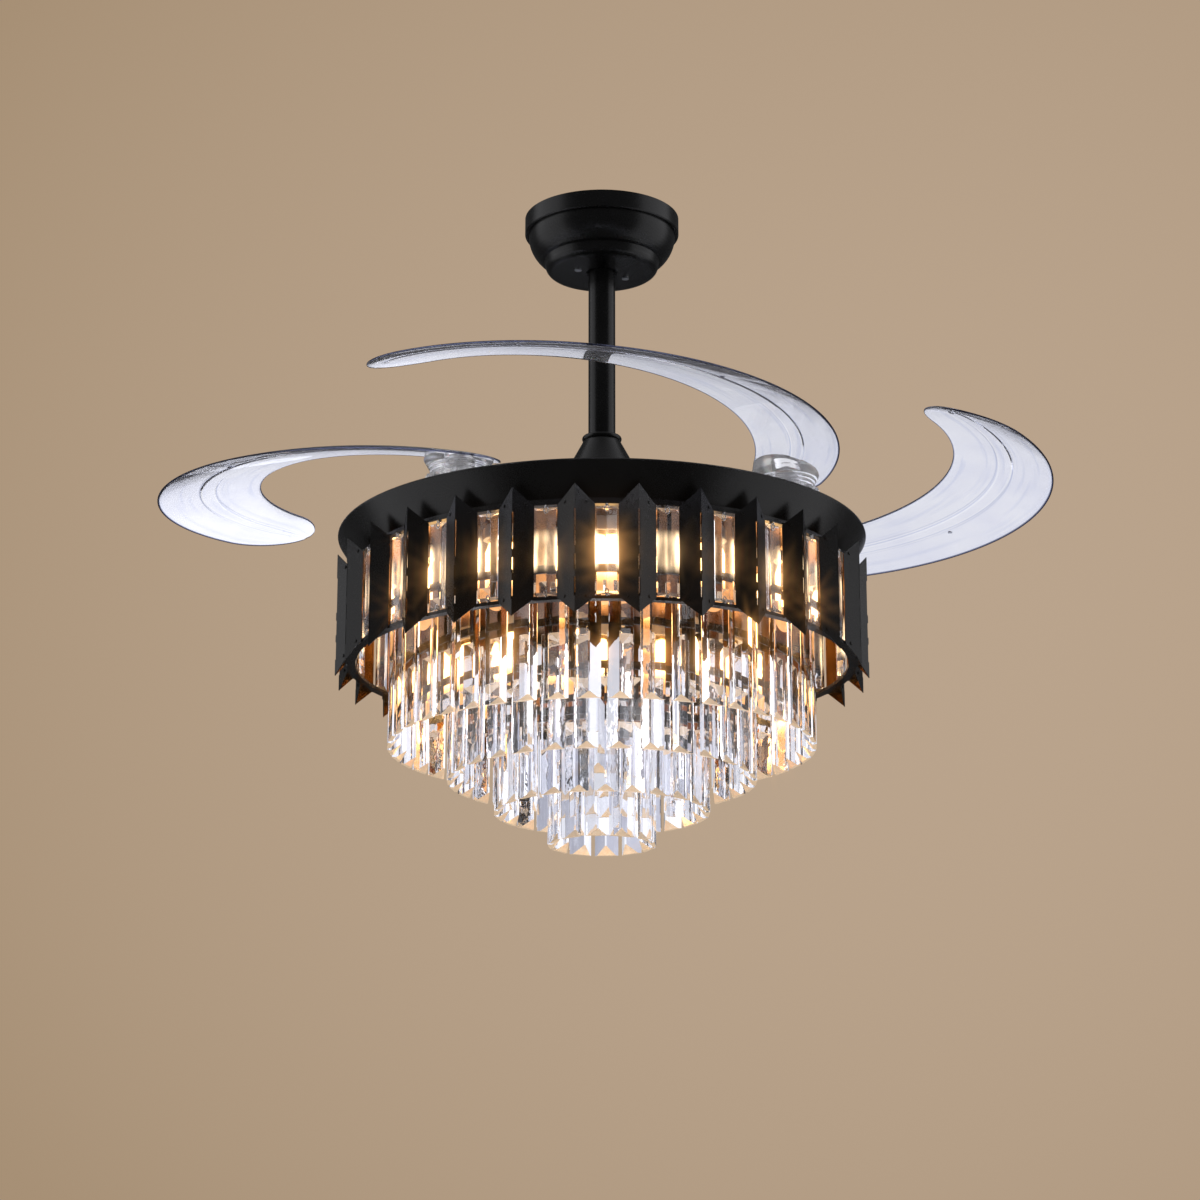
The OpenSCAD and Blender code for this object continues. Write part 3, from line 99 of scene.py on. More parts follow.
class Nodes:
    """Short calls to add and join the nodes of a tree. Its patterns follow the coordinate place."""

    def __init__(self, tree, place):
        self.tree, self.place = tree, place

    def fill(self, node, inputs):
        """Sets or joins inputs, named as the socket is (with _ for a space) or i0, i1 by order."""
        for key, value in inputs.items():
            by_order = key[0] == "i" and key[1:].isdigit()
            socket = node.inputs[int(key[1:]) if by_order else key.replace("_", " ")]
            if isinstance(value, bpy.types.NodeSocket):
                self.tree.links.new(value, socket)
            else:
                socket.default_value = value

    def new(self, kind, props=None, **inputs):
        """A new node, joined up."""
        node = self.tree.nodes.new("ShaderNode" + kind)
        for key, value in (props or {}).items():
            setattr(node, key, value)
        self.fill(node, inputs)
        return node

    def add(self, kind, props=None, **inputs):
        """The first output of a new node."""
        return self.new(kind, props, **inputs).outputs[0]

    def math(self, operation, *values):
        inputs = {f"i{k}": value for k, value in enumerate(values)}
        return self.add("Math", {"operation": operation}, **inputs)

    def vector(self, operation, *values):
        inputs = {f"i{k}": value for k, value in enumerate(values)}
        node = self.new("VectorMath", {"operation": operation}, **inputs)
        return node.outputs["Value" if operation in ("LENGTH", "DOT_PRODUCT") else "Vector"]

    def split(self, vector):
        """The three numbers of a vector."""
        return self.new("SeparateXYZ", i0=vector).outputs

    def noise(self, scale, detail=3.0):
        return self.add("TexNoise", Vector=self.place, Scale=scale, Detail=detail)

    def span(self, value, low, high, to_low=0.0, to_high=1.0, smooth=False):
        """The value moved from one range to another and held at its ends."""
        kind = {"interpolation_type": "SMOOTHSTEP"} if smooth else {}
        return self.add("MapRange", kind, Value=value, From_Min=low, From_Max=high,
                        To_Min=to_low, To_Max=to_high)

    def ramp(self, value, *stops):
        node = self.new("ValToRGB", i0=value)
        ends = node.color_ramp.elements
        for k, (at, colour) in enumerate(stops):
            stop = ends[k] if k < 2 else ends.new(at)
            stop.position, stop.color = at, (*colour, 1)
        return node.outputs[0]

    def mix(self, share, one, other):
        """A colour between one (share 0) and other (share 1)."""
        node = self.new("Mix", {"data_type": "RGBA"})
        for k, value in ((0, share), (6, one), (7, other)):
            socket = node.inputs[k]
            if isinstance(value, bpy.types.NodeSocket):
                self.tree.links.new(value, socket)
            else:
                socket.default_value = value if isinstance(value, float) else (*value, 1)
        return node.outputs[2]

    def bump(self, height, distance, strength=1.0):
        return self.add("Bump", Height=height, Distance=distance, Strength=strength)

    def polar(self):
        """Distance from the fan's axis, and the object-space direction away from it."""
        flat = self.vector("MULTIPLY", self.place, (1, 1, 0))
        return self.vector("LENGTH", flat), self.vector("NORMALIZE", flat)


class Shade(Nodes):
    """A material round one Principled shader."""

    def __init__(self, name, **inputs):
        self.mat = bpy.data.materials.new(name)
        self.mat.use_nodes = True
        tree = self.mat.node_tree
        self.surface = tree.nodes["Principled BSDF"]
        coords = tree.nodes.new("ShaderNodeTexCoord").outputs
        super().__init__(tree, coords["Object"])
        self.facing, self.unwrapped = coords["Normal"], coords["UV"]
        self.fill(self.surface, inputs)

    def set(self, **inputs):
        self.fill(self.surface, inputs)
        return self


def black_satin(name, gold=False, under=False):
    """Satin powder coat, with gold lacquer on faces that look inwards (gold) or down (under)."""
    black_low, black_high = (0.0022,) * 3, (0.004,) * 3
    gold_low, gold_high = (0.17, 0.068, 0.014), (0.26, 0.115, 0.028)
    s = Shade(name, Specular_IOR_Level=0.3)
    grain, cloud = s.noise(1300.0), s.noise(11.0, 4.0)
    paint = s.ramp(cloud, (0.3, black_low), (0.7, black_high))
    rough = s.math("ADD", s.span(cloud, 0.3, 0.7, 0.25, 0.31), s.span(grain, 0.3, 0.7, -0.03, 0.03))
    if gold or under:
        away = s.polar()[1] if gold else (0.0, 0.0, 1.0)
        limits = (-0.35, -0.5) if gold else (-0.97, -0.995)
        inside = s.span(s.vector("DOT_PRODUCT", away, s.facing), *limits)
        lacquer = s.ramp(s.noise(60.0, 5.0), (0.25, gold_low), (0.75, gold_high))
        paint = s.mix(inside, paint, lacquer)
        s.set(Metallic=inside)
    return s.set(Base_Color=paint, Roughness=rough, Normal=s.bump(grain, 0.00012, 0.5)).mat


def plated(name, dark, light, rough, streak=None):
    """Plated or turned metal, with turning lines round the axis if streak is a pitch in metres."""
    s = Shade(name, Metallic=1.0)
    cloud, grain = s.noise(45.0, 5.0), s.noise(700.0, 4.0)
    colour = s.ramp(cloud, (0.3, dark), (0.7, light))
    height = grain
    if streak:
        away, _ = s.polar()
        height = s.math("ADD", grain, s.math("SINE", s.math("MULTIPLY", away, TAU / streak)))
    worn = s.math("ADD", s.span(cloud, 0.3, 0.7, rough, rough * 1.35),
                  s.span(grain, 0.3, 0.7, -0.02, 0.03))
    return s.set(Base_Color=colour, Roughness=worn, Normal=s.bump(height, 0.00004, 0.4)).mat


def windings():
    """Enamelled copper wire, laid side by side away from the axis.
    The darker copper between the turns is painted shade.
    """
    wire_pitch, groove_shade, copper = 0.0009, (0.2, 0.06, 0.02), (0.78, 0.33, 0.14)
    s = Shade("copper_windings", Metallic=1.0)
    away, _ = s.polar()
    wire = s.math("SINE", s.math("MULTIPLY", away, TAU / wire_pitch))
    # painted shade: darker copper in the creases between the wires
    colour = s.mix(s.span(wire, -1.0, 0.2), groove_shade, copper)
    return s.set(Base_Color=colour, Roughness=s.span(s.noise(300.0), 0.3, 0.7, 0.24, 0.38),
                 Normal=s.bump(wire, 0.0003, 0.8)).mat


def sintered():
    """Sintered magnet, in sixteen segments round the axis."""
    segments, seam_colour, grey = 16, (0.02, 0.02, 0.02), (0.15, 0.15, 0.16)
    s = Shade("sintered_magnet", Metallic=0.7)
    grain = s.noise(900.0, 4.0)
    x, y, _ = s.split(s.place)
    turn = s.math("MULTIPLY", s.math("ARCTAN2", y, x), segments / TAU)
    seam = s.span(s.math("PINGPONG", turn, 0.5), 0.0, 0.03)
    return s.set(Base_Color=s.mix(seam, seam_colour, grey),
                 Roughness=s.span(grain, 0.3, 0.7, 0.42, 0.6),
                 Normal=s.bump(grain, 0.0002, 0.5)).mat


def moulded(name, dark, light, rough, **more):
    """Moulded plastic or glazed ceramic with a faint cloud and grain."""
    s = Shade(name, **more)
    cloud, grain = s.noise(38.0, 4.0), s.noise(1100.0, 3.0)
    return s.set(Base_Color=s.ramp(cloud, (0.3, dark), (0.7, light)),
                 Roughness=s.span(grain, 0.3, 0.7, rough, rough + 0.1),
                 Normal=s.bump(grain, 0.00012, 0.4)).mat


def painted_bulb_glow(s):
    """Painted light: upright streaks of warm emission on the outer faces of window crystals,
    standing in for the bulb light they would carry. They are strongest at the crystal's edges,
    and in the windows that stand between two lamps."""
    from_front = TAU * 1.25 - WINDOW_A
    x, y, high = s.split(s.place)
    flat = s.vector("MULTIPLY", s.place, (1, 1, 0.2))
    streak = s.add("TexNoise", Vector=flat, Scale=120.0, Detail=2.0)
    turn = s.math("ADD", s.math("ARCTAN2", y, x), from_front)
    off_lamp = s.math("PINGPONG", s.math("MULTIPLY", turn, LAMPS / TAU), 0.5)
    # painted glow is raised in the windows that stand between two lamps
    between = s.span(off_lamp, 0.3, 0.42, 0.06, 0.5)
    off_window = s.math("PINGPONG", s.math("MULTIPLY", turn, WINDOWS / TAU), 0.5)
    edge = s.math("MAXIMUM", s.span(off_window, 0.11, 0.19, smooth=True),
                  s.span(off_window, 0.05, 0.0, 0.0, 0.35, smooth=True))
    # painted glow: the band of height where a bulb stands behind the window
    lit = s.math("MULTIPLY", s.span(high, WINDOW_TOP - 0.018, WINDOW_TOP - 0.03, smooth=True),
                 s.span(high, WINDOW_TOP - 0.06, WINDOW_TOP - 0.05, smooth=True))
    lit = s.math("MULTIPLY", lit, s.math("MULTIPLY", s.math("ADD", edge, between),
                                         s.span(streak, 0.38, 0.62, 0.3, 1.8)))
    outwards = s.vector("DOT_PRODUCT", s.polar()[1], s.facing)
    return s.math("MULTIPLY", lit, s.span(outwards, 0.3, 0.5))


def cut_crystal(name, index, dark, light, window=False):
    """Cut crystal: a faint tint, slow waves in its polished faces, and finely ground ends, whose
    amber colour is painted warm light. A hanging one is tinted brown near the lamps, a painted
    reflection of the dark inside, and its ends glow with painted warm light. A window one glows with
    painted streaks of bulb light."""
    painted_shade_tint, amber_low, amber_high = (0.87, 0.8, 0.72), (0.9, 0.56, 0.3), (1.0, 0.8, 0.56)
    polish, wave, ground_rough, ground_clear, painted_end_glow = 0.008, 0.00004, 0.18, 0.45, 0.38
    s = Shade(name, IOR=index)
    cloud, slow = s.noise(26.0, 3.0), s.noise(75.0, 2.0)
    ground = s.span(s.math("ABSOLUTE", s.split(s.facing)[2]), 0.45, 0.6)
    body = s.ramp(cloud, (0.3, dark), (0.7, light))
    # the amber on the ground ends is painted warm light from the bulbs
    amber = s.ramp(s.noise(300.0), (0.3, amber_low), (0.7, amber_high))
    if window:
        # painted light: window crystals glow with emission standing in for bulb light
        glow, warm = painted_bulb_glow(s), (1.0, 0.72, 0.42)
    else:
        high = s.split(s.place)[2]
        # painted reflection: a brown tint near the lamps stands for the dark inside that cut glass
        # mirrors
        body = s.mix(s.span(high, PAINTED_SHADE_Z - PAINTED_SHADE_FADE, PAINTED_SHADE_Z, smooth=True), body, painted_shade_tint)
        # painted light: the ground ends of hanging crystals glow with emission
        glow, warm = s.math("MULTIPLY", ground, painted_end_glow), (1.0, 0.77, 0.54)
    rough = s.math("ADD", s.span(cloud, 0.3, 0.7, 0.0, polish),
                   s.math("MULTIPLY", ground, ground_rough))
    return s.set(Base_Color=s.mix(ground, body, amber), Roughness=rough,
                 Transmission_Weight=s.span(ground, 0.0, 1.0, 1.0, ground_clear),
                 Normal=s.bump(slow, wave, 1.0),
                 Emission_Color=(*warm, 1.0), Emission_Strength=glow).mat


# Painted reflections (dark) and highlights (white) along the blade's edges and rib:
# place across it (0 inner edge, 1 outer edge), half width and colour
BLADE_PAINTED_LINES = ((0.437, 0.006, (0.6, 0.64, 0.8)), (0.452, 0.005, (1.0, 1.0, 1.0)),
               (0.578, 0.005, (1.0, 1.0, 1.0)), (0.593, 0.006, (0.62, 0.66, 0.82)),
               (0.006, 0.007, (0.3, 0.33, 0.46)), (0.965, 0.01, (0.86, 0.88, 0.97)),
               (0.993, 0.0095, (0.03, 0.035, 0.08)))


def blade_acrylic(name):
    """Clear acrylic, near white, with soft streaks. The navy line on the outer edge and the lines at
    the rib are painted reflections and highlights.
    """
    s = Shade(name, Transmission_Weight=0.93, IOR=1.22, Specular_IOR_Level=0.2)
    cloud = s.noise(14.0, 3.0)
    tint = s.ramp(cloud, (0.32, (0.85, 0.862, 0.94)), (0.62, (0.93, 0.937, 0.975)))
    along, across_it, _ = s.split(s.unwrapped)
    stretched = s.add("CombineXYZ", i0=s.math("MULTIPLY", along, 2.2),
                      i1=s.math("MULTIPLY", across_it, 9.0))
    streak = s.add("TexNoise", Vector=stretched, Scale=1.6, Detail=2.0)
    tint = s.mix(s.span(streak, 0.52, 0.66, 0.0, 0.42, smooth=True), tint, (0.66, 0.7, 0.86))
    # painted reflections and highlights: each line is painted into the tint
    for at, wide, colour in BLADE_PAINTED_LINES:
        off = s.math("ABSOLUTE", s.math("SUBTRACT", across_it, at))
        tint = s.mix(s.span(off, wide * 1.5, wide * 0.6, smooth=True), tint, colour)
    return s.set(Base_Color=tint, Roughness=s.span(cloud, 0.3, 0.7, 0.0, 0.03)).mat


def knuckle_acrylic(name):
    """The same acrylic where it is thick, a little milky and uneven."""
    s = Shade(name, Transmission_Weight=0.8, IOR=1.22, Specular_IOR_Level=0.2)
    milk = s.ramp(s.noise(14.0, 3.0), (0.32, (0.93, 0.94, 0.98)), (0.62, (1.0, 1.0, 1.0)))
    return s.set(Base_Color=milk, Roughness=s.span(s.noise(60.0), 0.3, 0.7, 0.04, 0.2),
                 Normal=s.bump(s.noise(40.0, 2.0), 0.0004, 1.0)).mat


def lit_bulb():
    """Frosted envelope that glows warm, brightest along its middle."""
    faint, strong = 0.9, 6.5
    s = Shade("lit_bulb_glass", Roughness=0.2)
    high = s.split(s.place)[2]
    up = s.span(high, LAMP_TOP - 0.052, LAMP_TOP - 0.034, smooth=True)
    down = s.span(high, LAMP_TOP - 0.001, LAMP_TOP - 0.006, smooth=True)
    glow = s.math("MULTIPLY", s.math("MULTIPLY", up, down),
                  s.span(s.noise(120.0), 0.3, 0.7, 0.75, 1.1))
    return s.set(Base_Color=s.mix(glow, (0.9, 0.72, 0.5), (1.0, 0.9, 0.75)),
                 Emission_Color=s.mix(glow, (1.0, 0.42, 0.1), (1.0, 0.6, 0.24)),
                 Emission_Strength=s.span(glow, 0.0, 1.0, faint, strong)).mat


LOOKS = {
    "black_metal": black_satin("black_satin_coat"),
    "zinc_steel": plated("zinc_plate", (0.46, 0.47, 0.49), (0.6, 0.61, 0.63), 0.3),
    "bearing_chrome": plated("bright_chrome", (0.7, 0.71, 0.73), (0.82, 0.83, 0.85), 0.08, 0.0006),
    "winding_copper": windings(),
    "magnet": sintered(),
    "black_plastic": moulded("black_moulding", (0.012, 0.012, 0.013), (0.02, 0.02, 0.022), 0.45),
    "nylon": moulded("natural_nylon", (0.68, 0.66, 0.58), (0.78, 0.76, 0.69), 0.38,
                     Subsurface_Weight=0.25, Subsurface_Scale=0.004),
    "clear_acrylic": knuckle_acrylic("clear_acrylic"),
    "crystal": cut_crystal("cut_crystal", 1.42, (0.95, 0.955, 0.975), (0.985, 0.985, 1.0)),
    "ceramic": moulded("glazed_ceramic", (0.72, 0.68, 0.58), (0.82, 0.79, 0.7), 0.25,
                       Coat_Weight=0.4),
    "bulb_glass": lit_bulb(),
}
NODE_LOOKS = {"shade_fins": black_satin("black_satin_gold_inside", gold=True),
              "lamp_pan": black_satin("black_satin_gold_under", under=True)}
for part in frame["record"]["subparts"]:
    obj = nodes[part["node"]]
    look = NODE_LOOKS.get(part["node"], LOOKS[part["material_slot"]])
    for k in range(len(obj.material_slots)):
        obj.material_slots[k].material = look


# ------------------------------------------------------------ detail pieces

def skin(mesh, one, two):
    """Joins two closed rings of corners with a band of faces."""
    for a, b, c, d in zip(one, one[1:] + one[:1], two[1:] + two[:1], two):
        mesh.faces.new((a, b, c, d))


def sweep(mesh, path, radius, sides=8):
    """Adds a round wire along a closed path of points."""
    rings, n = [], len(path)
    angles = [TAU * j / sides for j in range(sides)]
    for k, p in enumerate(path):
        along = (Vector(path[(k + 1) % n]) - Vector(path[k - 1])).normalized()
        if k == 0:
            side = along.orthogonal().normalized()
        else:
            side = (side - along * side.dot(along)).normalized()
        other = along.cross(side)
        ways = [side * math.cos(a) + other * math.sin(a) for a in angles]
        rings.append([mesh.verts.new(Vector(p) + radius * way) for way in ways])
    for one, two in zip(rings, rings[1:] + rings[:1]):
        skin(mesh, one, two)


def turned(mesh, profile, steps=24):
    """Adds a body of revolution about Z from (radius, height) points, the first and last on Z."""
    tip, foot = mesh.verts.new((0, 0, profile[0][1])), mesh.verts.new((0, 0, profile[-1][1]))
    ways = [TAU * j / steps for j in range(steps)]
    rings = [[mesh.verts.new((r * math.cos(a), r * math.sin(a), z)) for a in ways]
             for r, z in profile[1:-1]]
    for j in range(steps):
        i = (j + 1) % steps
        mesh.faces.new((tip, rings[0][j], rings[0][i]))
        mesh.faces.new((foot, rings[-1][i], rings[-1][j]))
        for one, two in zip(rings, rings[1:]):
            mesh.faces.new((one[j], two[j], two[i], one[i]))


def round_axis(template, count, first, radius, height):
    """One mesh with copies of a template round the axis, the first turned from the front."""
    out = bmesh.new()
    source = bpy.data.meshes.new("source")
    template.to_mesh(source)
    template.free()
    for k in range(count):
        start = len(out.verts)
        out.from_mesh(source)
        out.verts.ensure_lookup_table()
        turn = Matrix.Rotation(first + TAU * k / count, 4, "Z")
        place = turn @ Matrix.Translation((0, -radius, height))
        bmesh.ops.transform(out, matrix=place, verts=out.verts[start:])
    bpy.data.meshes.remove(source)
    return out


def plain(name, mesh, look=None):
    """An object made of a bmesh, in the scene but on no body yet."""
    data = bpy.data.meshes.new(name)
    mesh.to_mesh(data)
    mesh.free()
    if look:
        data.materials.append(look)
    obj = bpy.data.objects.new(name, data)
    bpy.context.scene.collection.objects.link(obj)
    return obj


def piece(name, mesh, look, body, smooth=True):
    """Turns a bmesh into a named piece that rides on a body."""
    bmesh.ops.recalc_face_normals(mesh, faces=mesh.faces)
    obj = plain(name, mesh, look)
    for face in obj.data.polygons:
        face.use_smooth = smooth
    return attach(obj, body)


def oval(half_w, half_h, edge_on, steps=18):
    """An upright oval of points, facing the viewer of the window (edge_on = 0) or edge on (1)."""
    return [(half_w * math.cos(a) * (1 - edge_on), half_w * math.cos(a) * edge_on,
             half_h * math.sin(a)) for a in (TAU * k / steps for k in range(steps))]


def window_links():
    """The chrome link and bead at each window crystal's top, and the smaller ones at its foot."""
    out, link_off, bead_off = 0.9, 2.6, 3.4
    for name, height, drop, size in (("window_top_links", WINDOW_TOP, -1, 1.0),
                                     ("window_foot_links", WINDOW_FOOT, 1, 0.75)):
        mesh = bmesh.new()
        lean = Matrix.Translation((0, -out * MM, drop * link_off * MM * size))
        link = [lean @ Vector(p) for p in oval(1.9 * MM * size, 3.2 * MM * size, 0)]
        bead = [lean @ Vector((x, y, z - drop * bead_off * MM * size))
                for x, y, z in oval(1.3 * MM, 1.5 * MM, 1)]
        sweep(mesh, link, 0.5 * MM)
        sweep(mesh, bead, 0.4 * MM)
        made = round_axis(mesh, WINDOWS, WINDOW_A, WINDOW_R, height)
        piece(name, made, LOOKS["bearing_chrome"], "hanger")


def window_glass():
    """The long cut crystals in the windows: flat outside with bevelled edges, a low ridge inside,
    bevelled ends."""
    w, edge, ridge, deep = 11.2 * MM, 1.0 * MM, 0.3 * MM, 5.2 * MM
    bevel, slant, end, drop = 2.3 * MM, 1.5 * MM, 2.6 * MM, 3.4 * MM
    height = WINDOW_TOP - WINDOW_FOOT
    mesh = bmesh.new()
    rows = []
    for z, inset in ((0.0, 1.0), (-end, 0.0), (-height + end, 0.0), (-height, 1.0)):
        front = slant * inset
        section = [(-w + bevel, front), (w - bevel, front), (w, slant), (w, slant + edge)]
        section += [(ridge, deep), (-ridge, deep), (-w, slant + edge), (-w, slant)]
        rows.append([mesh.verts.new((x, y, z)) for x, y in section])
    for row, down in zip(rows, (-drop, -drop, drop, drop)):
        for corner in row[4:6]:  # the ridge is shorter than the edges
            corner.co.z += down
    for one, two in zip(rows, rows[1:]):
        skin(mesh, one, two)
    mesh.faces.new(rows[0][::-1])
    mesh.faces.new(rows[-1])
    bmesh.ops.triangulate(mesh, faces=[f for f in mesh.faces if len(f.verts) > 4])
    look = cut_crystal("window_crystal", 1.5, (0.8, 0.79, 0.8), (0.87, 0.865, 0.88), window=True)
    made = round_axis(mesh, WINDOWS, WINDOW_A, WINDOW_R, WINDOW_TOP)
    made = piece("window_glass", made, look, "hanger", smooth=False)
    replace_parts(made, "window_crystals")


def tier_links():
    """The chrome link between each hook and its hanging crystal."""
    inwards, above = 1.7 * MM, 1.2 * MM
    for k in range(4):
        mesh = bmesh.new()
        sweep(mesh, oval(2.0 * MM, 2.4 * MM, 0, 12), 0.4 * MM, 6)
        made = round_axis(mesh, TIER_N[k], math.radians(TIER_A[k]), TIER_R[k] - inwards,
                          TIER_TOP[k] + above)
        piece(f"tier_links_{k + 1}", made, LOOKS["bearing_chrome"], "hanger")


def bulb_collars():
    """The threaded brass collar where each bulb enters its holder."""
    r, raised = 8.1 * MM, 0.1 * MM
    mesh = bmesh.new()
    turned(mesh, [(0, 0), (r, 0), (r + 0.6 * MM, -0.6 * MM), (r, -1.2 * MM),
                  (r + 0.6 * MM, -1.8 * MM), (r, -2.4 * MM), (r + 0.5 * MM, -3.0 * MM),
                  (r, -3.6 * MM), (0, -3.6 * MM)])
    brass = plated("lamp_brass", (0.55, 0.36, 0.14), (0.72, 0.5, 0.22), 0.25)
    made = round_axis(mesh, LAMPS, WINDOW_A, LAMP_R, LAMP_TOP + raised)
    piece("bulb_collars", made, brass, "hanger")


# ------------------------------------------------------------------ blades

def arm(u, off, turn, r, arc):
    """A point of one of the blade's two edges, seen from above."""
    back, a = math.radians(turn), math.radians(turn - u * arc)
    return Vector((r * math.cos(a) - off * math.cos(back), r * math.sin(a) - off * math.sin(back)))


def across(u):
    """Middle of the blade at u, and the way from there to its outer edge."""
    outer, inner = arm(u, **OUTER), arm(u, **INNER)
    return (outer + inner) / 2, (outer - inner) / 2


def width_at(u):
    """Share of the blade's full width at u, less towards its round ends."""
    t = (u - 1 + TIP_SHARE) / TIP_SHARE if u > 1 - TIP_SHARE else max(0.0, -u / ROOT_SHARE)
    return max(MIN_WIDTH, math.sqrt(max(0.0, 1 - t * t)))


def skin_point(u, v, side, thin=1.0):
    """A point of the blade's upper (1) or lower (-1) face, with the share thin of its thickness."""
    middle, half = across(u)
    s = width_at(u)
    flat = middle + half * v * s
    arch = (1 - v * v) * s
    up = min(v - RIB_IN, RIB_OUT - v) / RIB_SIDE + 1 if RIB_FROM < u < RIB_TO else 0
    rib = RIB_H * min(1, max(0, up)) if side < 0 else 0
    t = (EDGE_T + (BLADE_T - EDGE_T) * arch) / 2 * thin + rib
    z = ROOT_Z + (TIP_Z - ROOT_Z) * u + CAMBER * arch - half.length * v * s * PITCH
    return Vector((*flat, z + side * t))


def blade_skin(mesh):
    """The blade's crescent with half-round edges, and each corner's station for the acrylic."""
    uv = mesh.loops.layers.uv.new("station")
    ends = [-ROOT_SHARE * math.cos(math.pi / 2 * k / ROOT_STEPS) for k in range(ROOT_STEPS)]
    body = [(1 - TIP_SHARE) * k / BLADE_STEPS for k in range(BLADE_STEPS)]
    tips = [1 - TIP_SHARE * (1 - math.sin(math.pi / 2 * k / TIP_STEPS))
            for k in range(TIP_STEPS + 1)]
    rib = [RIB_IN - RIB_SIDE, RIB_IN, RIB_OUT, RIB_OUT + RIB_SIDE]
    turns = [math.pi / 2 / ROUND_STEPS * k for k in range(1, ROUND_STEPS)]
    where, rings = {}, []
    for u in ends + body + tips:
        edge = EDGE_T / 2 / (across(u)[1].length * width_at(u))
        flat = sorted([(1 - edge) * (k / HALF_STEPS - 1) for k in range(2 * HALF_STEPS + 1)] + rib)
        round_off = [(1 - edge + edge * math.sin(a), math.cos(a)) for a in turns]
        half = [(-v, t) for v, t in reversed(round_off)] + [(v, 1.0) for v in flat] + round_off
        loop = [(-1, 1, 0.0)] + [(v, 1, t) for v, t in half] + [(1, 1, 0.0)]
        loop += [(v, -1, t) for v, t in reversed(half)]
        ring = []
        for v, side, t in loop:
            corner = mesh.verts.new(skin_point(u, v, side, t))
            where[corner] = (max(u, 0), (v + 1) / 2)
            ring.append(corner)
        rings.append(ring)
    for one, two in zip(rings, rings[1:]):
        skin(mesh, one, two)
    mesh.faces.new(rings[0][::-1])
    mesh.faces.new(rings[-1])
    for face in mesh.faces:
        for corner in face.loops:
            corner[uv].uv = where[corner.vert]


def root_plane(x, y):
    """Height of the plane through the blade's edges near the pivot, raised to meet its arch."""
    middle, half = across(0)
    side = half.normalized()
    climb = 4 * math.degrees(TIP_Z - ROOT_Z) / (OUTER["r"] + INNER["r"])
    climb /= OUTER["arc"] + INNER["arc"]
    gone = Vector((x, y)) - middle
    forward = Vector((side.y, -side.x))
    return ROOT_Z + SINK - PITCH * gone.dot(side) + climb * gone.dot(forward)


def tooth_r(a):
    """Radius of the pinion at an angle: straight-sided teeth between root and tip."""
    t = (a / TAU * TEETH) % 1
    rise = min(1, max(0, (0.5 - abs(t - 0.5) - TOOTH_FROM) / TOOTH_RISE))
    return PINION_R - TOOTH_ROOT + TOOTH_H * rise


def knuckle(mesh):
    """Pinion, neck, grooved flare, washer's recess and spring pocket, round the bore."""
    rounding, dish = 0.4, RECESS_R + 3
    gear_top = GEAR_Z + GEAR_H
    flare = (WIDE_R - FOOT_R) / (WIDE_Z - COLLAR_Z)
    back = -across(0)[1].normalized() * WIDE_R
    lean = (TOP_R - WIDE_R) / (root_plane(*back) - WIDE_Z)
    base = root_plane(0, 0)
    rings, steps = [], 8 * TEETH
    for k in range(steps):
        a = TAU * k / steps
        way = Vector((math.cos(a), math.sin(a)))
        slope = root_plane(*way) - base
        top = (base + slope * (FOOT_R - flare * COLLAR_Z)) / (1 - slope * flare)
        rim = FOOT_R + flare * (top - COLLAR_Z)
        wide = (rim - flare * rounding, top - rounding)
        if top > WIDE_Z:
            wide = (WIDE_R, WIDE_Z)
            top = (base + slope * (WIDE_R - lean * WIDE_Z)) / (1 - slope * lean)
            rim = WIDE_R + lean * (top - WIDE_Z)
        loop = [(tooth_r(a), GEAR_Z), (tooth_r(a), gear_top), (NECK_R, gear_top),
                (NECK_R, POCKET_Z), (FOOT_R + flare * (POCKET_Z - COLLAR_Z), POCKET_Z)]
        for low in GROOVES:
            r, z = FOOT_R + flare * low, COLLAR_Z + low
            loop += [(r, z), (r - GROOVE_DEPTH, z + GROOVE_LEAN), (r - GROOVE_DEPTH, z + GROOVE_H),
                     (r + flare * GROOVE_H, z + GROOVE_H + GROOVE_LEAN)]
        loop += [wide, (rim, top), (dish, base + slope * dish), (RECESS_R, base + slope * RECESS_R),
                 (RECESS_R, SEAT_Z), (BORE_R, SEAT_Z), (BORE_R, POCKET_TOP),
                 (POCKET_R, POCKET_TOP), (POCKET_R, POCKET_Z), (BORE_R, POCKET_Z), (BORE_R, GEAR_Z)]
        rings.append([mesh.verts.new((*(way * r), z)) for r, z in loop])
    for one, two in zip(rings, rings[1:] + rings[:1]):
        skin(mesh, one, two)


def tool(name, mesh, look):
    """A closed solid for the blade's boolean steps, whose faces all wear one look."""
    bmesh.ops.recalc_face_normals(mesh, faces=mesh.faces)
    return plain(name, mesh, look)


def rod(r, low, high, x=0.0, y=0.0):
    """A short upright cylinder as a bmesh."""
    mesh = bmesh.new()
    place = Matrix.Translation((x, y, (low + high) / 2))
    bmesh.ops.create_cone(mesh, cap_ends=True, segments=64, radius1=r, radius2=r,
                          depth=high - low, matrix=place)
    return mesh


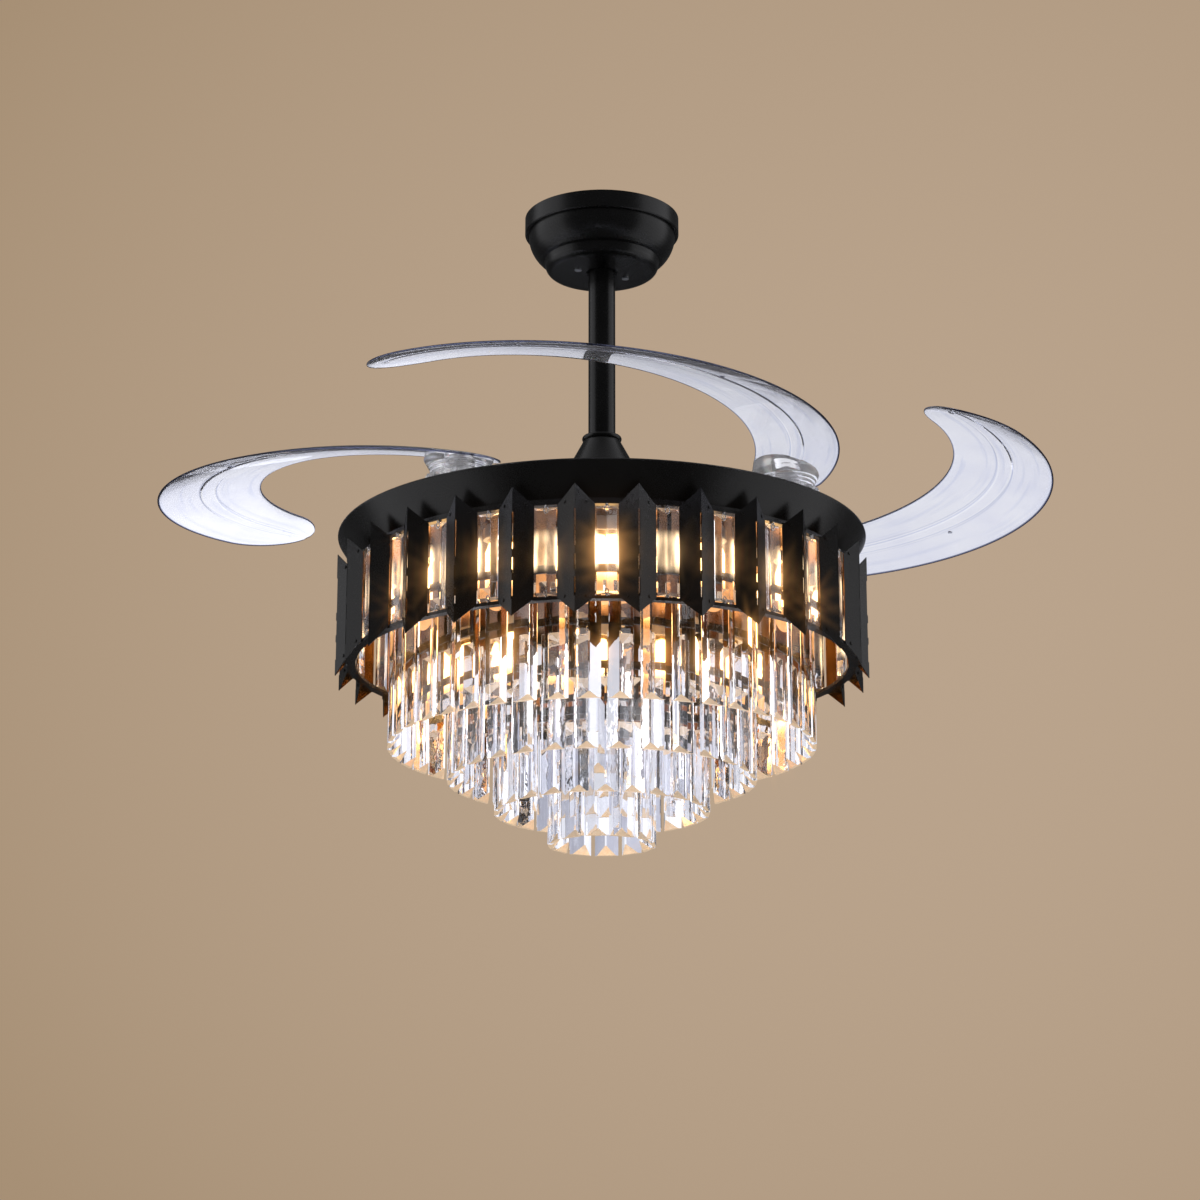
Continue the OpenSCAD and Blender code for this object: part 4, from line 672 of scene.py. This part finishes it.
def blades():
    """The smooth blades that stand for the faceted ones: crescent, knuckle and mark in one."""
    clear_look, dome_look = blade_acrylic("blade_acrylic"), knuckle_acrylic("knuckle_acrylic")
    crescent, flare = bmesh.new(), bmesh.new()
    blade_skin(crescent)
    knuckle(flare)
    spot = skin_point(MARK_U, MARK_V, -1)
    recess = rod(RECESS_R, SEAT_Z, SEAT_Z + 12)
    mark = rod(MARK_R, spot.z - RIB_H, spot.z + BLADE_T / 2, spot.x, spot.y)
    made = tool("blade_form", crescent, clear_look)
    tools = [("DIFFERENCE", tool("recess", recess, dome_look)),
             ("UNION", tool("flare", flare, dome_look)),
             ("UNION", tool("mark", mark, clear_look))]
    for how, other in tools:
        step = made.modifiers.new(how, "BOOLEAN")
        step.operation, step.object = how, other
        step.solver, step.material_mode = "EXACT", "TRANSFER"
    shaped = made.evaluated_get(bpy.context.evaluated_depsgraph_get())
    data = bpy.data.meshes.new_from_object(shaped)
    for obj in [made] + [other for _, other in tools]:
        bpy.data.objects.remove(obj)
    data.transform(Matrix.Translation((PIVOT_R * MM, 0, RIM_Z)) @ Matrix.Scale(MM * INSIDE, 4))
    data.shade_smooth()
    data.set_sharp_from_angle(angle=SHARP)
    data.transform(Matrix.Rotation(math.radians(PIVOT_A), 4, "Z"))
    for k in range(4):
        obj = bpy.data.objects.new(f"clear_blade_{k + 1}", data.copy())
        obj.data.transform(Matrix.Rotation(TAU / 4 * k, 4, "Z"))
        bpy.context.scene.collection.objects.link(obj)
        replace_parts(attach(obj, f"blade_{k + 1}"), f"blade_{k + 1}")


window_links()
window_glass()
tier_links()
bulb_collars()
blades()


# ------------------------------------------------- stage, lights and camera

FLOOR_R, FLOOR_Z = 60, -4.6
AIM = (0, 0, -0.35)  # what the lights look at
CAMERA_AT = (-0.0018, -2.7968, -1.1899)
CAMERA_TURN = math.radians(106.02)
SENSOR, LENS = 36, 92.39  # millimetres


def floor():
    """A wide pale floor, far enough below to clear every view, and unseen in gloss and glass."""
    s = Shade("pale_floor", Roughness=0.8)
    s.set(Base_Color=s.ramp(s.noise(2.0), (0.3, (0.66, 0.63, 0.58)), (0.7, (0.7, 0.67, 0.62))))
    mesh = bmesh.new()
    bmesh.ops.create_circle(mesh, cap_ends=True, segments=96, radius=FLOOR_R)
    obj = plain("floor", mesh, s.mat)
    obj.location = (0, 0, FLOOR_Z)
    obj.visible_glossy = obj.visible_transmission = False


def gloss_world(s, x, y, z):
    """What gloss mirrors: dark, with a bright strip at each side and a soft light from above."""
    strip, above, dark = (1.0, 1.0, 1.03), (0.5, 0.5, 0.52), (0.0, 0.0, 0.0)
    flat = s.math("SQRT", s.math("ADD", s.math("MULTIPLY", x, x), s.math("MULTIPLY", y, y)))
    side = s.math("DIVIDE", s.math("ABSOLUTE", x), s.math("MAXIMUM", flat, 0.001))
    strips = s.mix(s.span(side, 0.84, 0.97, 0.06, 2.7, smooth=True), dark, strip)
    return s.mix(s.span(z, 0.75, 0.95, smooth=True), strips, above)


def glass_world(s, x, y, z):
    """What shows through glass: pale with lavender stripes, dimmer aside, brown overhead."""
    stripes, lavender, pale, brown = 8.0, (0.36, 0.37, 0.47), (1.08, 1.09, 1.16), (0.2, 0.13, 0.075)
    stripe = s.math("COSINE", s.math("MULTIPLY", s.math("ARCTAN2", x, y), stripes))
    bright = s.span(stripe, -1.0, -0.3, 0.16, 1.0, smooth=True)
    level = s.span(z, -0.75, 0.15, 0.7, 1.0, smooth=True)
    aside = s.math("MULTIPLY", s.span(z, 0.12, 0.36, smooth=True), s.span(y, 0.86, 0.7))
    level = s.math("MULTIPLY", level, s.span(aside, 0.0, 1.0, 1.0, 0.4))
    glass = s.mix(s.math("MULTIPLY", bright, level), lavender, pale)
    glass = s.mix(s.span(z, 0.44, 0.66, 1.0, 0.0, smooth=True), brown, glass)
    tilt = s.math("ADD", s.span(x, -0.09, 0.04, 1.2, 0.82, smooth=True),
                  s.span(x, 0.1, 0.17, 0.0, 0.08, smooth=True))
    return s.add("VectorMath", {"operation": "SCALE"}, i0=glass, Scale=tilt)


def backdrop(s, x, z):
    """Tan wall, lightest a little right of the fan."""
    off_x = s.math("DIVIDE", s.math("SUBTRACT", x, 0.1), 0.35)
    off_z = s.math("DIVIDE", s.math("SUBTRACT", z, 0.27), 0.3)
    away = s.math("ADD", s.math("MULTIPLY", off_x, off_x), s.math("MULTIPLY", off_z, off_z))
    return s.ramp(away, (0.0, (0.49, 0.37, 0.265)), (1.0, (0.385, 0.278, 0.18)))


def studio():
    """Tan backdrop for the camera, and soft surroundings for light, gloss and glass."""
    world = bpy.data.worlds.new("studio")
    bpy.context.scene.world = world
    world.use_nodes = True
    world.cycles.sampling_method = "NONE"
    tree = world.node_tree
    tree.nodes.clear()
    s = Nodes(tree, tree.nodes.new("ShaderNodeTexCoord").outputs["Generated"])
    x, y, z = s.split(s.place)
    ray = s.new("LightPath").outputs
    seen = s.mix(s.span(z, -0.6, 0.6), (0.72, 0.72, 0.76), (0.95, 0.96, 1.0))
    seen = s.mix(ray["Is Glossy Ray"], seen, gloss_world(s, x, y, z))
    seen = s.mix(ray["Is Transmission Ray"], seen, glass_world(s, x, y, z))
    seen = s.mix(ray["Is Camera Ray"], seen, backdrop(s, x, z))
    shine = s.add("Background", Color=seen, Strength=1.0)
    s.new("OutputWorld", Surface=shine)


def soft_light(name, place, size, power, colour):
    """A soft box that looks at the fan and doesn't show in its gloss."""
    data = bpy.data.lights.new(name, "AREA")
    data.shape, data.size, data.size_y = "RECTANGLE", size[0], size[1]
    data.energy, data.color = power, colour
    obj = bpy.data.objects.new(name, data)
    obj.location = place
    obj.rotation_euler = (Vector(AIM) - Vector(place)).to_track_quat("-Z", "Y").to_euler()
    obj.visible_glossy = False
    bpy.context.scene.collection.objects.link(obj)


def camera():
    """The main view, from a little below the drum."""
    data = bpy.data.cameras.new("camera")
    data.sensor_width, data.lens = SENSOR, LENS
    obj = bpy.data.objects.new("camera", data)
    obj.location = CAMERA_AT
    obj.rotation_euler = (CAMERA_TURN, 0, 0)
    bpy.context.scene.collection.objects.link(obj)
    bpy.context.scene.camera = obj


def lens_glow():
    """The soft halo and faint star that a lens draws round a lit bulb."""
    halo = {"Threshold": 1.0, "Strength": 0.18, "Size": 0.35, "Tint": (1.0, 0.8, 0.55, 1.0)}
    star = {"Threshold": 1.6, "Strength": 0.16, "Streaks": 8, "Streaks Angle": 0.2,
            "Iterations": 2, "Fade": 0.85, "Tint": (1.0, 0.82, 0.6, 1.0)}
    scene = bpy.context.scene
    scene.use_nodes = True
    tree = scene.node_tree
    tree.nodes.clear()
    last = tree.nodes.new("CompositorNodeRLayers").outputs["Image"]
    for kind, values in (("FOG_GLOW", halo), ("STREAKS", star)):
        glare = tree.nodes.new("CompositorNodeGlare")
        glare.glare_type = kind
        for key, value in values.items():
            glare.inputs[key].default_value = value
        tree.links.new(last, glare.inputs["Image"])
        last = glare.outputs["Image"]
    tree.links.new(last, tree.nodes.new("CompositorNodeComposite").inputs["Image"])


floor()
studio()
soft_light("key_left", (-2.2, -1.6, 0.9), (1.6, 1.6), 26, (1.0, 0.98, 0.96))
soft_light("key_right", (2.4, -1.2, 0.7), (1.4, 1.6), 20, (0.97, 0.98, 1.0))
camera()
bpy.context.scene.view_settings.view_transform = "Standard"
lens_glow()
